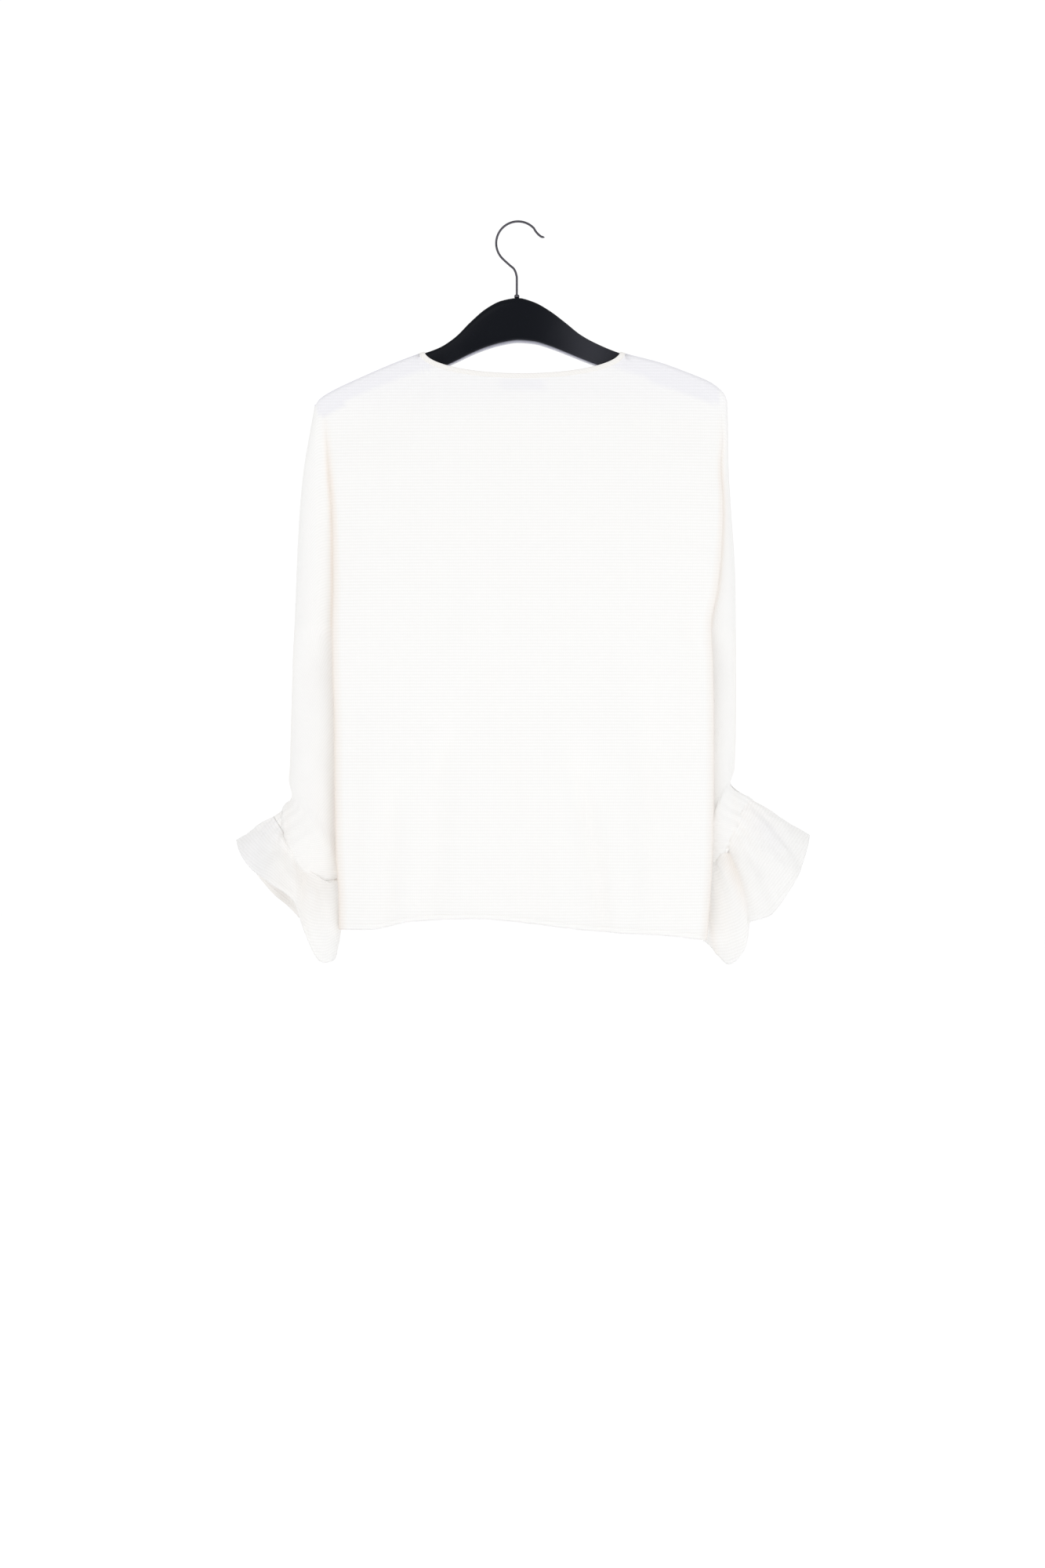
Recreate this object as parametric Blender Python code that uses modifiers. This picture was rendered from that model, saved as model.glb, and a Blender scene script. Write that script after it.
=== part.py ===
"""A V-neck blouse on a plastic hanger, hung by a wire hook, with its back towards -Y.

Back and front are each cut in one with their half of both sleeves. A bias strip binds the neck,
a gathered casing closes each wrist and a deep flounce falls from it. The origin is the inner top
of the hook, where a rail bears. +X is to the right as the back is seen and +Z is up.
Sizes are in millimetres up to the last step, which turns each point into metres.
"""

from collections import namedtuple

import bmesh
import bpy
import numpy as np

MM = 0.001
WALL = 1.2
SEAM_GAP = 0.3
SEAM_PULL = 0.3
MITRE_LIMIT = 4.0

# Hook and hanger
WIRE_RADIUS = 1.25
HOOK_TAIL = ((29.6, -16.5), (26.1, -15.7), (22.6, -13.1), (19.4, -9.4))
HOOK_STEM = ((-8.9, -47.6), (-4.6, -51.4), (-2.4, -56.0), (-1.3, -62.0))
HOOK_RADIUS = 24.2
HOOK_CENTRE_Z = WIRE_RADIUS - HOOK_RADIUS
HOOK_ARC_FROM, HOOK_ARC_TO = 44.0, 224.0
HOOK_ARC_STEPS = 14
COLLAR_RADIUS, COLLAR_HEIGHT = 2.9, 3.4
STEM_X = -1.3
HANGER_HALF = 6.0
HANGER_EDGE = 4.2
HANGER_ENDS = (-219.0, 222.0)
STEM_FOOT_Z = -80.2

# Cloth over the hanger's arms
ARM_ROUND = 5.0

# Neck
NECK_CENTRE_X, NECK_Z = 4.8, -144.4
NECK_HALF, NECK_DROP = 108.3, 25.3
BINDING_WIDTH, BINDING_WALL = 5.8, 1.6
NECK_GAP = 0.6
NECK_SETTLES_OVER = 10.0
CLOTH_OVER_ARM = BINDING_WALL / 2 + 0.6

# How flat the back and front are across, and how soon a fold reaches its depth and how far it runs
BACK_FLATNESS, FRONT_FLATNESS = 3.0, 2.4
FOLD_OPENS, FOLD_RUNS_ON = 2.2, 1.2

# Underarm and section spacing
UNDERARM_Z = -449.0
TOP_DROPS = (0.0, 0.25, 1.0, 2.5, 5.5)
TOP_SHARES = (0.1, 0.22, 0.36, 0.52, 0.68, 0.84, 1.0)
BODY_ROWS = 14
SLEEVE_STEPS = (0.0, 0.05, 0.18, 0.38, 0.62, 0.82, 0.95, 1.0)
WRAP_STEPS = (0.0, 0.34, 0.68, 1.0)
WRAP_TURN = np.radians(65)
SHOULDER_QUADS = 6
SHOULDER_CROWD = 1.7
BACK_NECK_QUADS, FRONT_NECK_QUADS = 14, 20
BODY_EDGE = (0.95, 0.985)
UNDER_SEAM_SPREAD = 0.7
TIP_SPREAD = 0.4
ROUNDED_AFTER = 1.6
SLEEVE_TOP_Z = -215.0
SLEEVE_FILLS_OVER = 200.0
UPPER_SLEEVE_BACK, UPPER_SLEEVE_FRONT = 4.5, 14.0

# Cuffs
GATHERS = 22
POINTS_A_GATHER = 3
BAND_WIDTH = 20.0
BAND_DEPTH = 7.5
GATHER_HEIGHT = 1.6
RUFFLE_WAVES = 9
SLOW_WAVES = 5
SLOW_SHARE = 0.35
WAVE_HEIGHT = 9.0
RUFFLE_ROWS = 7
RUFFLE_LEAVE = 12.0
RUFFLE_LIFT = 5.0
RUFFLE_DROP = 45.0
RUFFLE_IN = 6.0
RUFFLE_GATHER = 0.6
ROOT_GAP = 0.6

Hanger = namedtuple("Hanger", "x top bottom")
HANGER = (
    Hanger(-224.0, -204.0, -207.0),
    Hanger(-219.0, -197.5, -217.0),
    Hanger(-205.3, -188.8, -213.5),
    Hanger(-183.6, -178.4, -198.0),
    Hanger(-160.1, -167.9, -188.0),
    Hanger(-135.7, -157.5, -179.0),
    Hanger(-113.1, -148.8, -169.6),
    Hanger(-87.0, -139.4, -160.5),
    Hanger(-69.6, -127.9, -153.1),
    Hanger(-52.2, -110.5, -144.9),
    Hanger(-34.8, -95.7, -138.0),
    Hanger(-17.4, -87.0, -133.1),
    Hanger(0.0, -84.2, -130.5),
    Hanger(17.4, -88.7, -131.8),
    Hanger(34.8, -98.3, -136.6),
    Hanger(52.2, -111.4, -143.1),
    Hanger(69.6, -125.3, -150.0),
    Hanger(87.0, -134.9, -156.6),
    Hanger(113.1, -145.6, -165.0),
    Hanger(157.5, -157.5, -182.0),
    Hanger(186.2, -167.9, -193.0),
    Hanger(212.3, -178.9, -201.0),
    Hanger(221.9, -185.6, -205.0),
    Hanger(227.9, -191.8, -207.0),
    Hanger(231.4, -199.6, -207.0),
    Hanger(232.4, -205.6, -208.0),
)

# Edges of the garment at each level, seen from behind: sleeve, then the fold where body overlaps it
Level = namedtuple("Level", "z left_outer left_fold right_fold right_outer")
LEVELS = (
    Level(-204.0, -225.2, -214.5, 224.5, 232.2),
    Level(-240.0, -232.0, -211.4, 225.4, 233.0),
    Level(-271.0, -237.5, -208.8, 223.4, 233.7),
    Level(-320.0, -242.6, -204.6, 225.6, 236.7),
    Level(-365.0, -245.3, -203.4, 223.8, 240.2),
    Level(-407.0, -247.1, -203.0, 219.7, 242.0),
    Level(-449.0, -248.8, -203.9, 212.3, 242.3),
    Level(-490.0, -250.6, -203.6, 214.0, 242.5),
    Level(-553.0, -252.3, -201.6, 214.9, 242.6),
    Level(-623.0, -254.9, -201.0, 214.9, 241.2),
    Level(-693.0, -256.0, -200.0, 214.0, 241.0),
    Level(-745.0, -256.0, -197.0, 211.4, 241.0),
    Level(-796.0, -256.0, -196.4, 207.5, 241.0),
)

# How deep the garment stands at each level; the tuck is how far the body's fold runs back inside
Depth = namedtuple("Depth", "z back front edge tuck_left tuck_right back_valley front_valley seam")
DEPTHS = (
    Depth(-147.0, -8.3, 8.3, -8.3, -5.0, -3.0, -8.3, 8.3, 0.0),
    Depth(-204.0, -14.0, 12.0, -8.3, -5.0, -3.0, -8.3, 8.3, 0.0),
    Depth(-235.0, -17.3, 15.4, -9.8, -4.0, -3.0, -9.0, 8.0, 1.3),
    Depth(-262.0, -20.2, 18.2, -11.2, -1.0, 0.0, -8.2, 7.6, 2.6),
    Depth(-295.0, -23.2, 21.2, -13.2, 5.5, 7.5, -3.6, 7.1, 4.1),
    Depth(-330.0, -26.0, 24.0, -15.0, 11.0, 15.0, 0.0, 6.5, 5.5),
    Depth(-400.0, -30.0, 29.0, -18.5, 17.0, 27.0, 2.0, 5.5, 7.5),
    Depth(-449.0, -32.0, 32.0, -20.0, 19.0, 34.0, 2.8, 4.8, 8.0),
    Depth(-490.0, -33.0, 33.0, -20.0, 18.0, 30.0, -3.0, -3.0, 8.0),
    Depth(-620.0, -35.0, 35.0, -20.0, 15.0, 22.0, -5.0, -5.0, 8.0),
    Depth(-796.0, -37.0, 38.0, -17.0, 14.0, 16.0, -4.0, -4.0, 8.0),
)

Hem = namedtuple("Hem", "x back front")
HEM = (
    Hem(-205.0, -783.0, -783.5),
    Hem(-165.3, -782.0, -781.0),
    Hem(-121.8, -773.4, -776.0),
    Hem(-52.2, -770.0, -772.0),
    Hem(17.4, -776.0, -772.0),
    Hem(87.0, -783.9, -776.0),
    Hem(165.3, -789.1, -786.0),
    Hem(215.0, -795.2, -794.0),
)

FrontNeck = namedtuple("FrontNeck", "x z")
FRONT_NECK = (
    FrontNeck(-103.5, NECK_Z),
    FrontNeck(-100.0, -154.0),
    FrontNeck(-84.0, -184.0),
    FrontNeck(-56.0, -240.0),
    FrontNeck(-40.0, -285.0),
    FrontNeck(-30.0, -345.0),
    FrontNeck(-17.4, -400.0),
    FrontNeck(18.0, -352.0),
    FrontNeck(58.0, -308.0),
    FrontNeck(90.0, -268.0),
    FrontNeck(107.0, -215.0),
    FrontNeck(112.0, -165.0),
    FrontNeck(113.1, NECK_Z),
)

# Soft troughs (depth above zero) and ridges of the cloth, as lines from top to bottom
Fold = namedtuple("Fold", "x_top z_top x_bottom z_bottom width depth")
BACK_FOLDS = (
    Fold(-28.0, -400.0, 8.0, -775.0, 17.0, 5.0),
    Fold(62.0, -560.0, 98.0, -790.0, 14.0, 9.0),
    Fold(140.0, -470.0, 148.0, -790.0, 18.0, 6.0),
    Fold(104.0, -470.0, 122.0, -800.0, 20.0, -5.0),
    Fold(-70.0, -520.0, -98.0, -790.0, 15.0, 5.0),
    Fold(-134.0, -600.0, -146.0, -790.0, 13.0, 7.0),
    Fold(-178.0, -470.0, -180.0, -790.0, 11.0, 4.0),
    Fold(188.0, -320.0, 182.0, -600.0, 12.0, 4.0),
    Fold(35.0, -520.0, 52.0, -790.0, 16.0, -4.0),
)
FRONT_FOLDS = (
    Fold(-60.0, -330.0, -88.0, -790.0, 18.0, 7.0),
    Fold(58.0, -380.0, 74.0, -790.0, 20.0, 8.0),
    Fold(132.0, -420.0, 140.0, -800.0, 16.0, 6.0),
    Fold(-132.0, -430.0, -140.0, -790.0, 15.0, 6.0),
    Fold(-10.0, -440.0, -14.0, -780.0, 19.0, -6.0),
    Fold(100.0, -500.0, 108.0, -790.0, 15.0, -5.0),
)

# Sleeve below the underarm: ends of each section, outer then inner, and how far it stands each way
SleeveRow = namedtuple("SleeveRow", "x_outer z_outer x_inner z_inner centre back front")
LEFT_SLEEVE = (
    SleeveRow(-250.4, -484.0, -193.0, -486.0, 6.0, 7.0, 18.0),
    SleeveRow(-251.6, -527.0, -194.0, -533.0, 7.0, 11.0, 18.0),
    SleeveRow(-252.9, -567.0, -195.0, -580.0, 7.5, 14.0, 18.0),
    SleeveRow(-254.0, -604.0, -197.0, -632.0, 8.0, 17.0, 19.0),
    SleeveRow(-254.8, -620.0, -199.0, -678.0, 8.0, 19.0, 19.0),
)
RIGHT_SLEEVE = (
    SleeveRow(242.5, -484.0, 184.0, -486.0, 6.0, 6.0, 18.0),
    SleeveRow(242.6, -520.0, 186.0, -533.0, 7.0, 9.0, 18.0),
    SleeveRow(242.4, -555.0, 189.0, -580.0, 7.5, 12.0, 18.0),
    SleeveRow(241.8, -588.0, 195.0, -627.0, 8.0, 14.0, 18.0),
    SleeveRow(240.6, -608.0, 201.0, -665.0, 8.0, 15.0, 16.0),
)

# Cuff: where its casing lies, which way it points and how far the sleeve droops over it
Cuff = namedtuple("Cuff", "side x y z angle half droop start_phase")
CUFFS = {
    "left": Cuff(-1, -238.4, 7.0, -691.0, 34.0, 43.5, 26.0, 0.4),
    "right": Cuff(1, 234.5, 7.0, -672.9, 26.3, 36.4, 2.0, 1.3),
}

# Last rows of a sleeve, where it laps the casing: plain, and where it droops over it first
FULL_DROOP = 15.0
DROOP_SKEW = 1.4
DROOP_FULL = 0.8
Lap = namedtuple("Lap", "reach grow droop_reach droop_grow droop_share")
LAPS = (
    Lap(-8.0, 7.0, -9.0, 11.0, 0.0),
    Lap(-2.5, 5.1, 0.0, 11.0, 0.6),
    Lap(1.0, 4.3, 1.5, 9.6, 1.0),
    Lap(3.5, 4.0, 1.0, 5.6, 0.8),
)

# Free edge of each flounce, once round from its outer tip over the near layer and back behind
HemPoint = namedtuple("HemPoint", "turn x z y")
LEFT_RUFFLE = (
    HemPoint(0.00, -313.0, -686.0, 4.0),
    HemPoint(0.08, -300.0, -710.0, -20.0),
    HemPoint(0.17, -272.0, -738.0, -30.0),
    HemPoint(0.26, -245.0, -759.0, -26.0),
    HemPoint(0.34, -233.0, -788.0, -25.0),
    HemPoint(0.41, -216.0, -819.0, -19.0),
    HemPoint(0.46, -203.0, -813.0, -11.0),
    HemPoint(0.51, -198.0, -797.0, 1.0),
    HemPoint(0.58, -210.0, -804.0, 18.0),
    HemPoint(0.67, -236.0, -784.0, 32.0),
    HemPoint(0.77, -262.0, -760.0, 36.0),
    HemPoint(0.87, -291.0, -730.0, 30.0),
    HemPoint(0.95, -309.0, -698.0, 16.0),
)
RIGHT_RUFFLE = (
    HemPoint(0.00, 324.0, -680.0, 4.0),
    HemPoint(0.08, 315.0, -706.0, -20.0),
    HemPoint(0.17, 299.0, -736.0, -28.0),
    HemPoint(0.26, 276.0, -766.0, -32.0),
    HemPoint(0.33, 254.0, -774.0, -26.0),
    HemPoint(0.40, 250.0, -800.0, -24.0),
    HemPoint(0.46, 231.0, -821.0, -15.0),
    HemPoint(0.51, 216.0, -808.0, -4.0),
    HemPoint(0.56, 208.5, -796.0, 8.0),
    HemPoint(0.64, 228.0, -794.0, 24.0),
    HemPoint(0.72, 254.0, -774.0, 34.0),
    HemPoint(0.84, 288.0, -744.0, 32.0),
    HemPoint(0.94, 314.0, -702.0, 16.0),
)

LABEL_X, LABEL_Z = (-23.5, 26.0), (-176.0, -190.5)
LABEL_WALL = 0.6


def curve_through(rows, key, value, at):
    """Smooth curve through the rows of a table: the named value at each place of the named key."""
    x = np.array([getattr(row, key) for row in rows], float)
    y = np.array([getattr(row, value) for row in rows], float)
    order = np.argsort(x)
    return smooth(x[order], y[order], at)


def smooth(x, y, at):
    """Cubic through points in rising x, with slopes that never overshoot, level past its ends."""
    step = np.diff(y) / np.diff(x)
    slope = np.zeros(len(x))
    same_way = step[:-1] * step[1:] > 0
    mean = 2 * step[:-1] * step[1:] / np.where(same_way, step[:-1] + step[1:], 1)
    slope[1:-1] = np.where(same_way, mean, 0)
    slope[0], slope[-1] = step[0], step[-1]
    at = np.clip(np.asarray(at, float), x[0], x[-1])
    i = np.clip(np.searchsorted(x, at) - 1, 0, len(x) - 2)
    run = x[i + 1] - x[i]
    t = (at - x[i]) / run
    rise = (y[i + 1] - y[i]) * (3 - 2 * t) * t * t
    bend = run * t * (1 - t) * (slope[i] * (1 - t) - slope[i + 1] * t)
    return y[i] + rise + bend


def ease(t):
    """Rises from 0 to 1 with level ends."""
    t = np.clip(t, 0, 1)
    return t * t * (3 - 2 * t)


def level(name, z):
    return curve_through(LEVELS, "z", name, z)


def depth(name, z):
    return curve_through(DEPTHS, "z", name, z)


def arm_line(x):
    """Height of the cloth that rests on the hanger's arms, which the shoulder seam follows."""
    return curve_through(HANGER, "x", "top", x) + CLOTH_OVER_ARM


def over_arm(drop):
    """How much of its full half depth the cloth has reached this far below the hanger's top."""
    t = np.clip(drop / ARM_ROUND, 0, 1)
    return np.sqrt(1 - (1 - t) ** 2)


def relief(folds, x, z):
    """Depth of the soft folds at a point, each fading in from its top end."""
    total = np.zeros(np.broadcast(x, z).shape)
    for fold in folds:
        along = np.clip((fold.z_top - z) / (fold.z_top - fold.z_bottom), 0, FOLD_RUNS_ON)
        centre = fold.x_top + (fold.x_bottom - fold.x_top) * along
        across = (x - centre) / fold.width
        total += fold.depth * np.exp(-across * across) * ease(along * FOLD_OPENS)
    return total


def body_y(side, x, z):
    """Depth of the back (side -1) or front (side 1) at a point of the body."""
    left, right = level("left_fold", z), level("right_fold", z)
    drop = over_arm(arm_line(x) - z)
    if side < 0:
        middle, half = (left + right) / 2, (right - left) / 2
        share = np.sqrt(np.clip(1 - np.abs((x - middle) / half) ** BACK_FLATNESS, 0, 1))
        edge = depth("edge", z)
        y = edge + (depth("back", z) - edge) * share
        return y * drop + relief(BACK_FOLDS, x, z) * share
    left, right = left + depth("tuck_left", z), right - depth("tuck_right", z)
    middle, half = (left + right) / 2, (right - left) / 2
    share = np.clip(1 - np.abs((x - middle) / half) ** FRONT_FLATNESS, 0, 1)
    edge = depth("front_valley", z)
    return (edge + (depth("front", z) - edge) * share) * drop - relief(FRONT_FOLDS, x, z) * share


def neck_stations(side):
    """Places along the neckline, closer together where it climbs over the shoulder."""
    if side < 0:
        shares = (1 - np.cos(np.linspace(0, np.pi, BACK_NECK_QUADS - 1))) / 2
    else:
        half = 1 - np.cos(np.linspace(0, np.pi / 2, FRONT_NECK_QUADS // 2))
        run = front_neck_run()
        point = run[apex_row()] / run[-1]
        shares = np.concatenate([half * point, 1 - (half * (1 - point))[-2::-1]])
    first, last = shares[1] / 4, 1 - (1 - shares[-2]) / 4
    return np.concatenate([[0, first], shares[1:-1], [last, 1]])


def apex_row():
    """Row of the front neck's table that holds the point of the V."""
    return int(np.argmin([row.z for row in FRONT_NECK]))


def front_neck_run():
    """Length along the front neckline's own points."""
    given = np.array(FRONT_NECK, float)
    return np.concatenate([[0], np.cumsum(np.linalg.norm(np.diff(given, axis=0), axis=1))])


def neck_curve(side, offset):
    """Neckline of the back or front from left to right, moved out from the opening, with mitres."""
    shares = neck_stations(side)
    nudge = 0.002
    samples = np.stack([shares + step for step in (-nudge, 0, nudge)])
    if side < 0:
        turn = np.pi * (1 - samples)
        x = NECK_CENTRE_X + NECK_HALF * np.cos(turn)
        z = NECK_Z - NECK_DROP * np.sin(turn)
    else:
        given, run = np.array(FRONT_NECK, float), front_neck_run()
        x, z = (smooth(run, given[:, k], samples * run[-1]) for k in (0, 1))
    outs = []
    for before, after in ((0, 1), (1, 2)):
        way = np.stack([x[after] - x[before], z[after] - z[before]], 1)
        out = np.stack([way[:, 1], -way[:, 0]], 1)
        length = np.linalg.norm(out, axis=1)[:, None]
        outs.append(out / np.where(length > 1e-9, length, 1))
    out = outs[0] + outs[1]
    out /= np.linalg.norm(out, axis=1)[:, None]
    mitre = np.maximum((out * outs[0]).sum(axis=1), (out * outs[1]).sum(axis=1))
    line = np.stack([x[1], z[1]], 1) + out * offset / np.clip(mitre, 0.5, 1)[:, None]
    for end in (0, -1):
        below = line[end, 1] - line[:, 1]
        below[np.abs(line[:, 0] - line[end, 0]) > NECK_HALF] = np.inf
        line[:, 1] += (arm_line(line[end, 0]) - line[end, 1]) * np.exp(-below / NECK_SETTLES_OVER)
    return line


def top_edge(side):
    """Top edge of a panel: sleeve end, shoulder seam, neck, and the same again on the right."""
    neck = neck_curve(side, BINDING_WIDTH + NECK_GAP)
    z = HANGER[0].top
    halves = []
    for hand, inner in (("left", neck[0, 0]), ("right", neck[-1, 0])):
        outer, fold = level(hand + "_outer", z), level(hand + "_fold", z)
        valley = fold + (1 if hand == "left" else -1) * depth("tuck_" + hand, z)
        sleeve = outer + (valley - outer) * (1 - np.cos(np.array(SLEEVE_STEPS) * np.pi / 2))
        wrap = fold + (valley - fold) * wrap_run()[1:] if side < 0 else np.zeros(0)
        before = np.concatenate([sleeve, wrap])
        share = np.linspace(0, 1, SHOULDER_QUADS + 3)[1:-1] ** SHOULDER_CROWD
        x = np.concatenate([before, before[-1] + (inner - before[-1]) * share])
        halves.append(np.stack([x, arm_line(x)], 1))
    return np.concatenate([halves[0], neck, halves[1][::-1]])


def wrap_run():
    """Share of the way from the body's fold into the valley at each column of the wrap."""
    return (1 - np.cos((1 - np.array(WRAP_STEPS)) * WRAP_TURN)) / (1 - np.cos(WRAP_TURN))


def wrap_turn():
    """Share of the depth from the body's fold to the valley at each column of the wrap."""
    return np.sin((1 - np.array(WRAP_STEPS)) * WRAP_TURN) / np.sin(WRAP_TURN)


def sleeve_strip(outer, inner, bulge, side, round_inner, spread):
    """One half ring of a sleeve from its outer seam to its inner end."""
    turn = np.array(SLEEVE_STEPS)[:, None] * np.pi
    open_run = 1 - np.cos(turn / 2)
    closed_run = (1 - np.cos(turn)) / 2
    run = open_run + (closed_run - open_run) * round_inner
    points = outer + (inner - outer) * run
    points[:, 1] = (outer[1] + (inner[1] - outer[1]) * np.sin(turn / 2) ** 2)[:, 0]
    points[:, 1] += side * (bulge * np.sin(turn) + spread * np.sin(turn / 2) ** 2)[:, 0]
    return points


def upper_row(side, top, share, drop):
    """One row of a panel above the underarm, from the left sleeve's seam to the right one's."""
    count = len(top)
    z = top[:, 1] - TOP_DROPS[-1] - (top[:, 1] - TOP_DROPS[-1] - UNDERARM_Z) * share
    z = top[:, 1] - drop if share == 0 else z
    blend = ease(share)
    sleeve = len(SLEEVE_STEPS)
    wrap = len(WRAP_STEPS) - 1 if side < 0 else 0
    turn = np.array(SLEEVE_STEPS) * np.pi
    start = sleeve + wrap
    x = np.zeros(count)
    y = np.zeros(count)
    fell = over_arm(top[:, 1] - z)
    for hand in ("left", "right"):
        sign = 1 if hand == "left" else -1
        pick = slice(0, sleeve) if hand == "left" else slice(count - 1, count - sleeve - 1, -1)
        outer = level(hand + "_outer", z[pick])
        fold = level(hand + "_fold", z[pick])
        valley = fold + sign * depth("tuck_" + hand, z[pick])
        x[pick] = outer + (valley - outer) * (1 - np.cos(turn / 2))
        inner_y = depth("back_valley" if side < 0 else "front_valley", z[pick])
        outer_y = depth("seam", z[pick])
        bulge = UPPER_SLEEVE_BACK if side < 0 else UPPER_SLEEVE_FRONT
        bulge = bulge * ease((SLEEVE_TOP_Z - z[pick]) / SLEEVE_FILLS_OVER)
        y[pick] = outer_y + (inner_y - outer_y) * np.sin(turn / 2) + side * bulge * np.sin(turn)
        y[pick] = y[pick] * fell[pick] + side * TIP_SPREAD * (1 - fell[pick])
        if side < 0:
            span = np.arange(sleeve, start)
            span = span if hand == "left" else count - 1 - span
            zw = z[span]
            tuck = sign * depth("tuck_" + hand, zw)
            x[span] = level(hand + "_fold", zw) + tuck * wrap_run()[1:]
            edge, inside = depth("edge", zw), depth("back_valley", zw)
            y[span] = (edge + (inside - edge) * wrap_turn()[1:]) * fell[span]
    middle = slice(start, count - start)
    zm = z[middle]
    left, right = level("left_fold", zm), level("right_fold", zm)
    if side > 0:
        left, right = left + depth("tuck_left", zm), right - depth("tuck_right", zm)
    given = top[middle, 0]
    x[middle] = given + (body_stations(side, left, right) - given) * blend
    y[middle] = body_y(side, x[middle], zm)
    return np.stack([x, y, z], 1)


def body_stations(side, left, right):
    """Places in x across the body between its folds, those of the front split at the V's point."""
    neck = BACK_NECK_QUADS if side < 0 else FRONT_NECK_QUADS
    half = SHOULDER_QUADS + neck // 2
    split = 0.0
    if side > 0:
        apex = FRONT_NECK[apex_row()].x
        split = np.median((2 * apex - left - right) / (right - left))
    first = np.linspace(-BODY_EDGE[0], split, half + 1)
    second = np.linspace(split, BODY_EDGE[0], half + 1)
    across = np.concatenate([[-BODY_EDGE[1]], first, second[1:], [BODY_EDGE[1]]])
    return (left + right) / 2 + (right - left) / 2 * across


def panel_grid(side):
    """Points and faces of the back or front, cut in one with its half of both sleeves."""
    sleeve = len(SLEEVE_STEPS)
    wrap = len(WRAP_STEPS) - 1 if side < 0 else 0
    top = top_edge(side)
    count = len(top)
    points = []
    faces = []

    def add_row(row):
        start = len(points)
        points.extend(row)
        return list(range(start, start + len(row)))

    def join(upper, lower):
        for k in range(len(upper) - 1):
            faces.append((upper[k], lower[k], lower[k + 1], upper[k + 1]))

    grid = [add_row(upper_row(side, top, 0, drop)) for drop in TOP_DROPS]
    grid += [add_row(upper_row(side, top, share, 0)) for share in TOP_SHARES]
    for upper, lower in zip(grid, grid[1:]):
        join(upper, lower)
    last = grid[-1]
    base = np.array([points[i] for i in last])
    # Body below the underarm
    first = sleeve - 1
    body = last[first : count - first]
    under = base[first : count - first]
    previous = body
    for k in range(1, BODY_ROWS + 1):
        row = body_row(side, under, k / BODY_ROWS, wrap)
        indices = add_row(row)
        join(previous, indices)
        previous = indices
    # Sleeves below the underarm
    for hand in ("left", "right"):
        pick = last[:sleeve] if hand == "left" else last[count - sleeve :][::-1]
        previous = pick
        for row in sleeve_rows(side, hand):
            indices = add_row(row)
            if hand == "left":
                join(previous, indices)
            else:
                join(previous[::-1], indices[::-1])
            previous = indices
    return np.array(points), faces


def body_row(side, under, share, wrap):
    """A row of the body at this share of the way from the underarm to the hem."""
    count = len(under)
    guess = under[:, 0]
    end = curve_through(HEM, "x", "back" if side < 0 else "front", guess)
    z = UNDERARM_Z + (end - UNDERARM_Z) * share
    x = np.zeros(count)
    y = np.zeros(count)
    inside = wrap + 1 if side < 0 else 1
    middle = slice(inside, count - inside)
    zm = z[middle]
    left, right = level("left_fold", zm), level("right_fold", zm)
    if side > 0:
        left, right = left + depth("tuck_left", zm), right - depth("tuck_right", zm)
    x[middle] = body_stations(side, left, right)
    y[middle] = body_y(side, x[middle], zm)
    for hand in ("left", "right"):
        sign = 1 if hand == "left" else -1
        span = slice(0, inside) if hand == "left" else slice(count - 1, count - 1 - inside, -1)
        zw = z[span]
        fold = level(hand + "_fold", zw)
        tuck = sign * depth("tuck_" + hand, zw)
        edge, valley = depth("edge", zw), depth("back_valley", zw)
        if side < 0:
            x[span] = fold + tuck * wrap_run()
            y[span] = edge + (valley - edge) * wrap_turn()
        else:
            x[span], y[span] = fold + tuck, valley
    return np.stack([x, y, z], 1)


def cuff_axes(hand):
    """Centre of a casing and its directions: along the sleeve, across to its outer top."""
    cuff = CUFFS[hand]
    angle = np.radians(cuff.angle)
    along_way = np.array([cuff.side * np.cos(angle), 0, -np.sin(angle)])
    across_way = np.array([cuff.side * np.sin(angle), 0, np.cos(angle)])
    return np.array([cuff.x, cuff.y, cuff.z]), along_way, across_way


def casing_ring(hand, turns, reach, grow):
    """Points round a casing at this distance along it, grown outwards by so much."""
    centre, along_way, across_way = cuff_axes(hand)
    half = CUFFS[hand].half + grow
    deep = BAND_DEPTH + grow
    angle = 2 * np.pi * np.asarray(turns)
    return (
        centre
        + along_way * reach
        + np.cos(angle)[:, None] * across_way * half
        - np.sin(angle)[:, None] * np.array([0, 1, 0]) * deep
    )


def sleeve_rows(side, hand):
    """Rows of a sleeve half from below the underarm to its lap over the casing."""
    cuff = CUFFS[hand]
    table = LEFT_SLEEVE if hand == "left" else RIGHT_SLEEVE
    rows = []
    for k, row in enumerate(table):
        outer = np.array([row.x_outer, row.centre, row.z_outer])
        inner = np.array([row.x_inner, row.centre, row.z_inner])
        bulge = row.back if side < 0 else row.front
        spread = UNDER_SEAM_SPREAD / (k + 1)
        rounded = ease((k + 1) / ROUNDED_AFTER)
        rows.append(sleeve_strip(outer, inner, bulge, side, rounded, spread))
    turns = np.array(SLEEVE_STEPS) / 2
    turns = turns if side < 0 else 1 - turns
    hang = np.sin(np.pi * np.array(SLEEVE_STEPS) ** DROOP_SKEW) ** DROOP_FULL
    hang = hang if side < 0 else 0 * turns
    along_way = cuff_axes(hand)[1]
    for lap in LAPS:
        plain = casing_ring(hand, turns, lap.reach - BAND_WIDTH / 2, lap.grow)
        drooped = casing_ring(hand, turns, lap.droop_reach - BAND_WIDTH / 2, lap.droop_grow)
        drooped += along_way * cuff.droop * lap.droop_share
        share = np.minimum(hang, cuff.droop / FULL_DROOP)[:, None]
        rows.append(plain + (drooped - plain) * share)
    return rows


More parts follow.
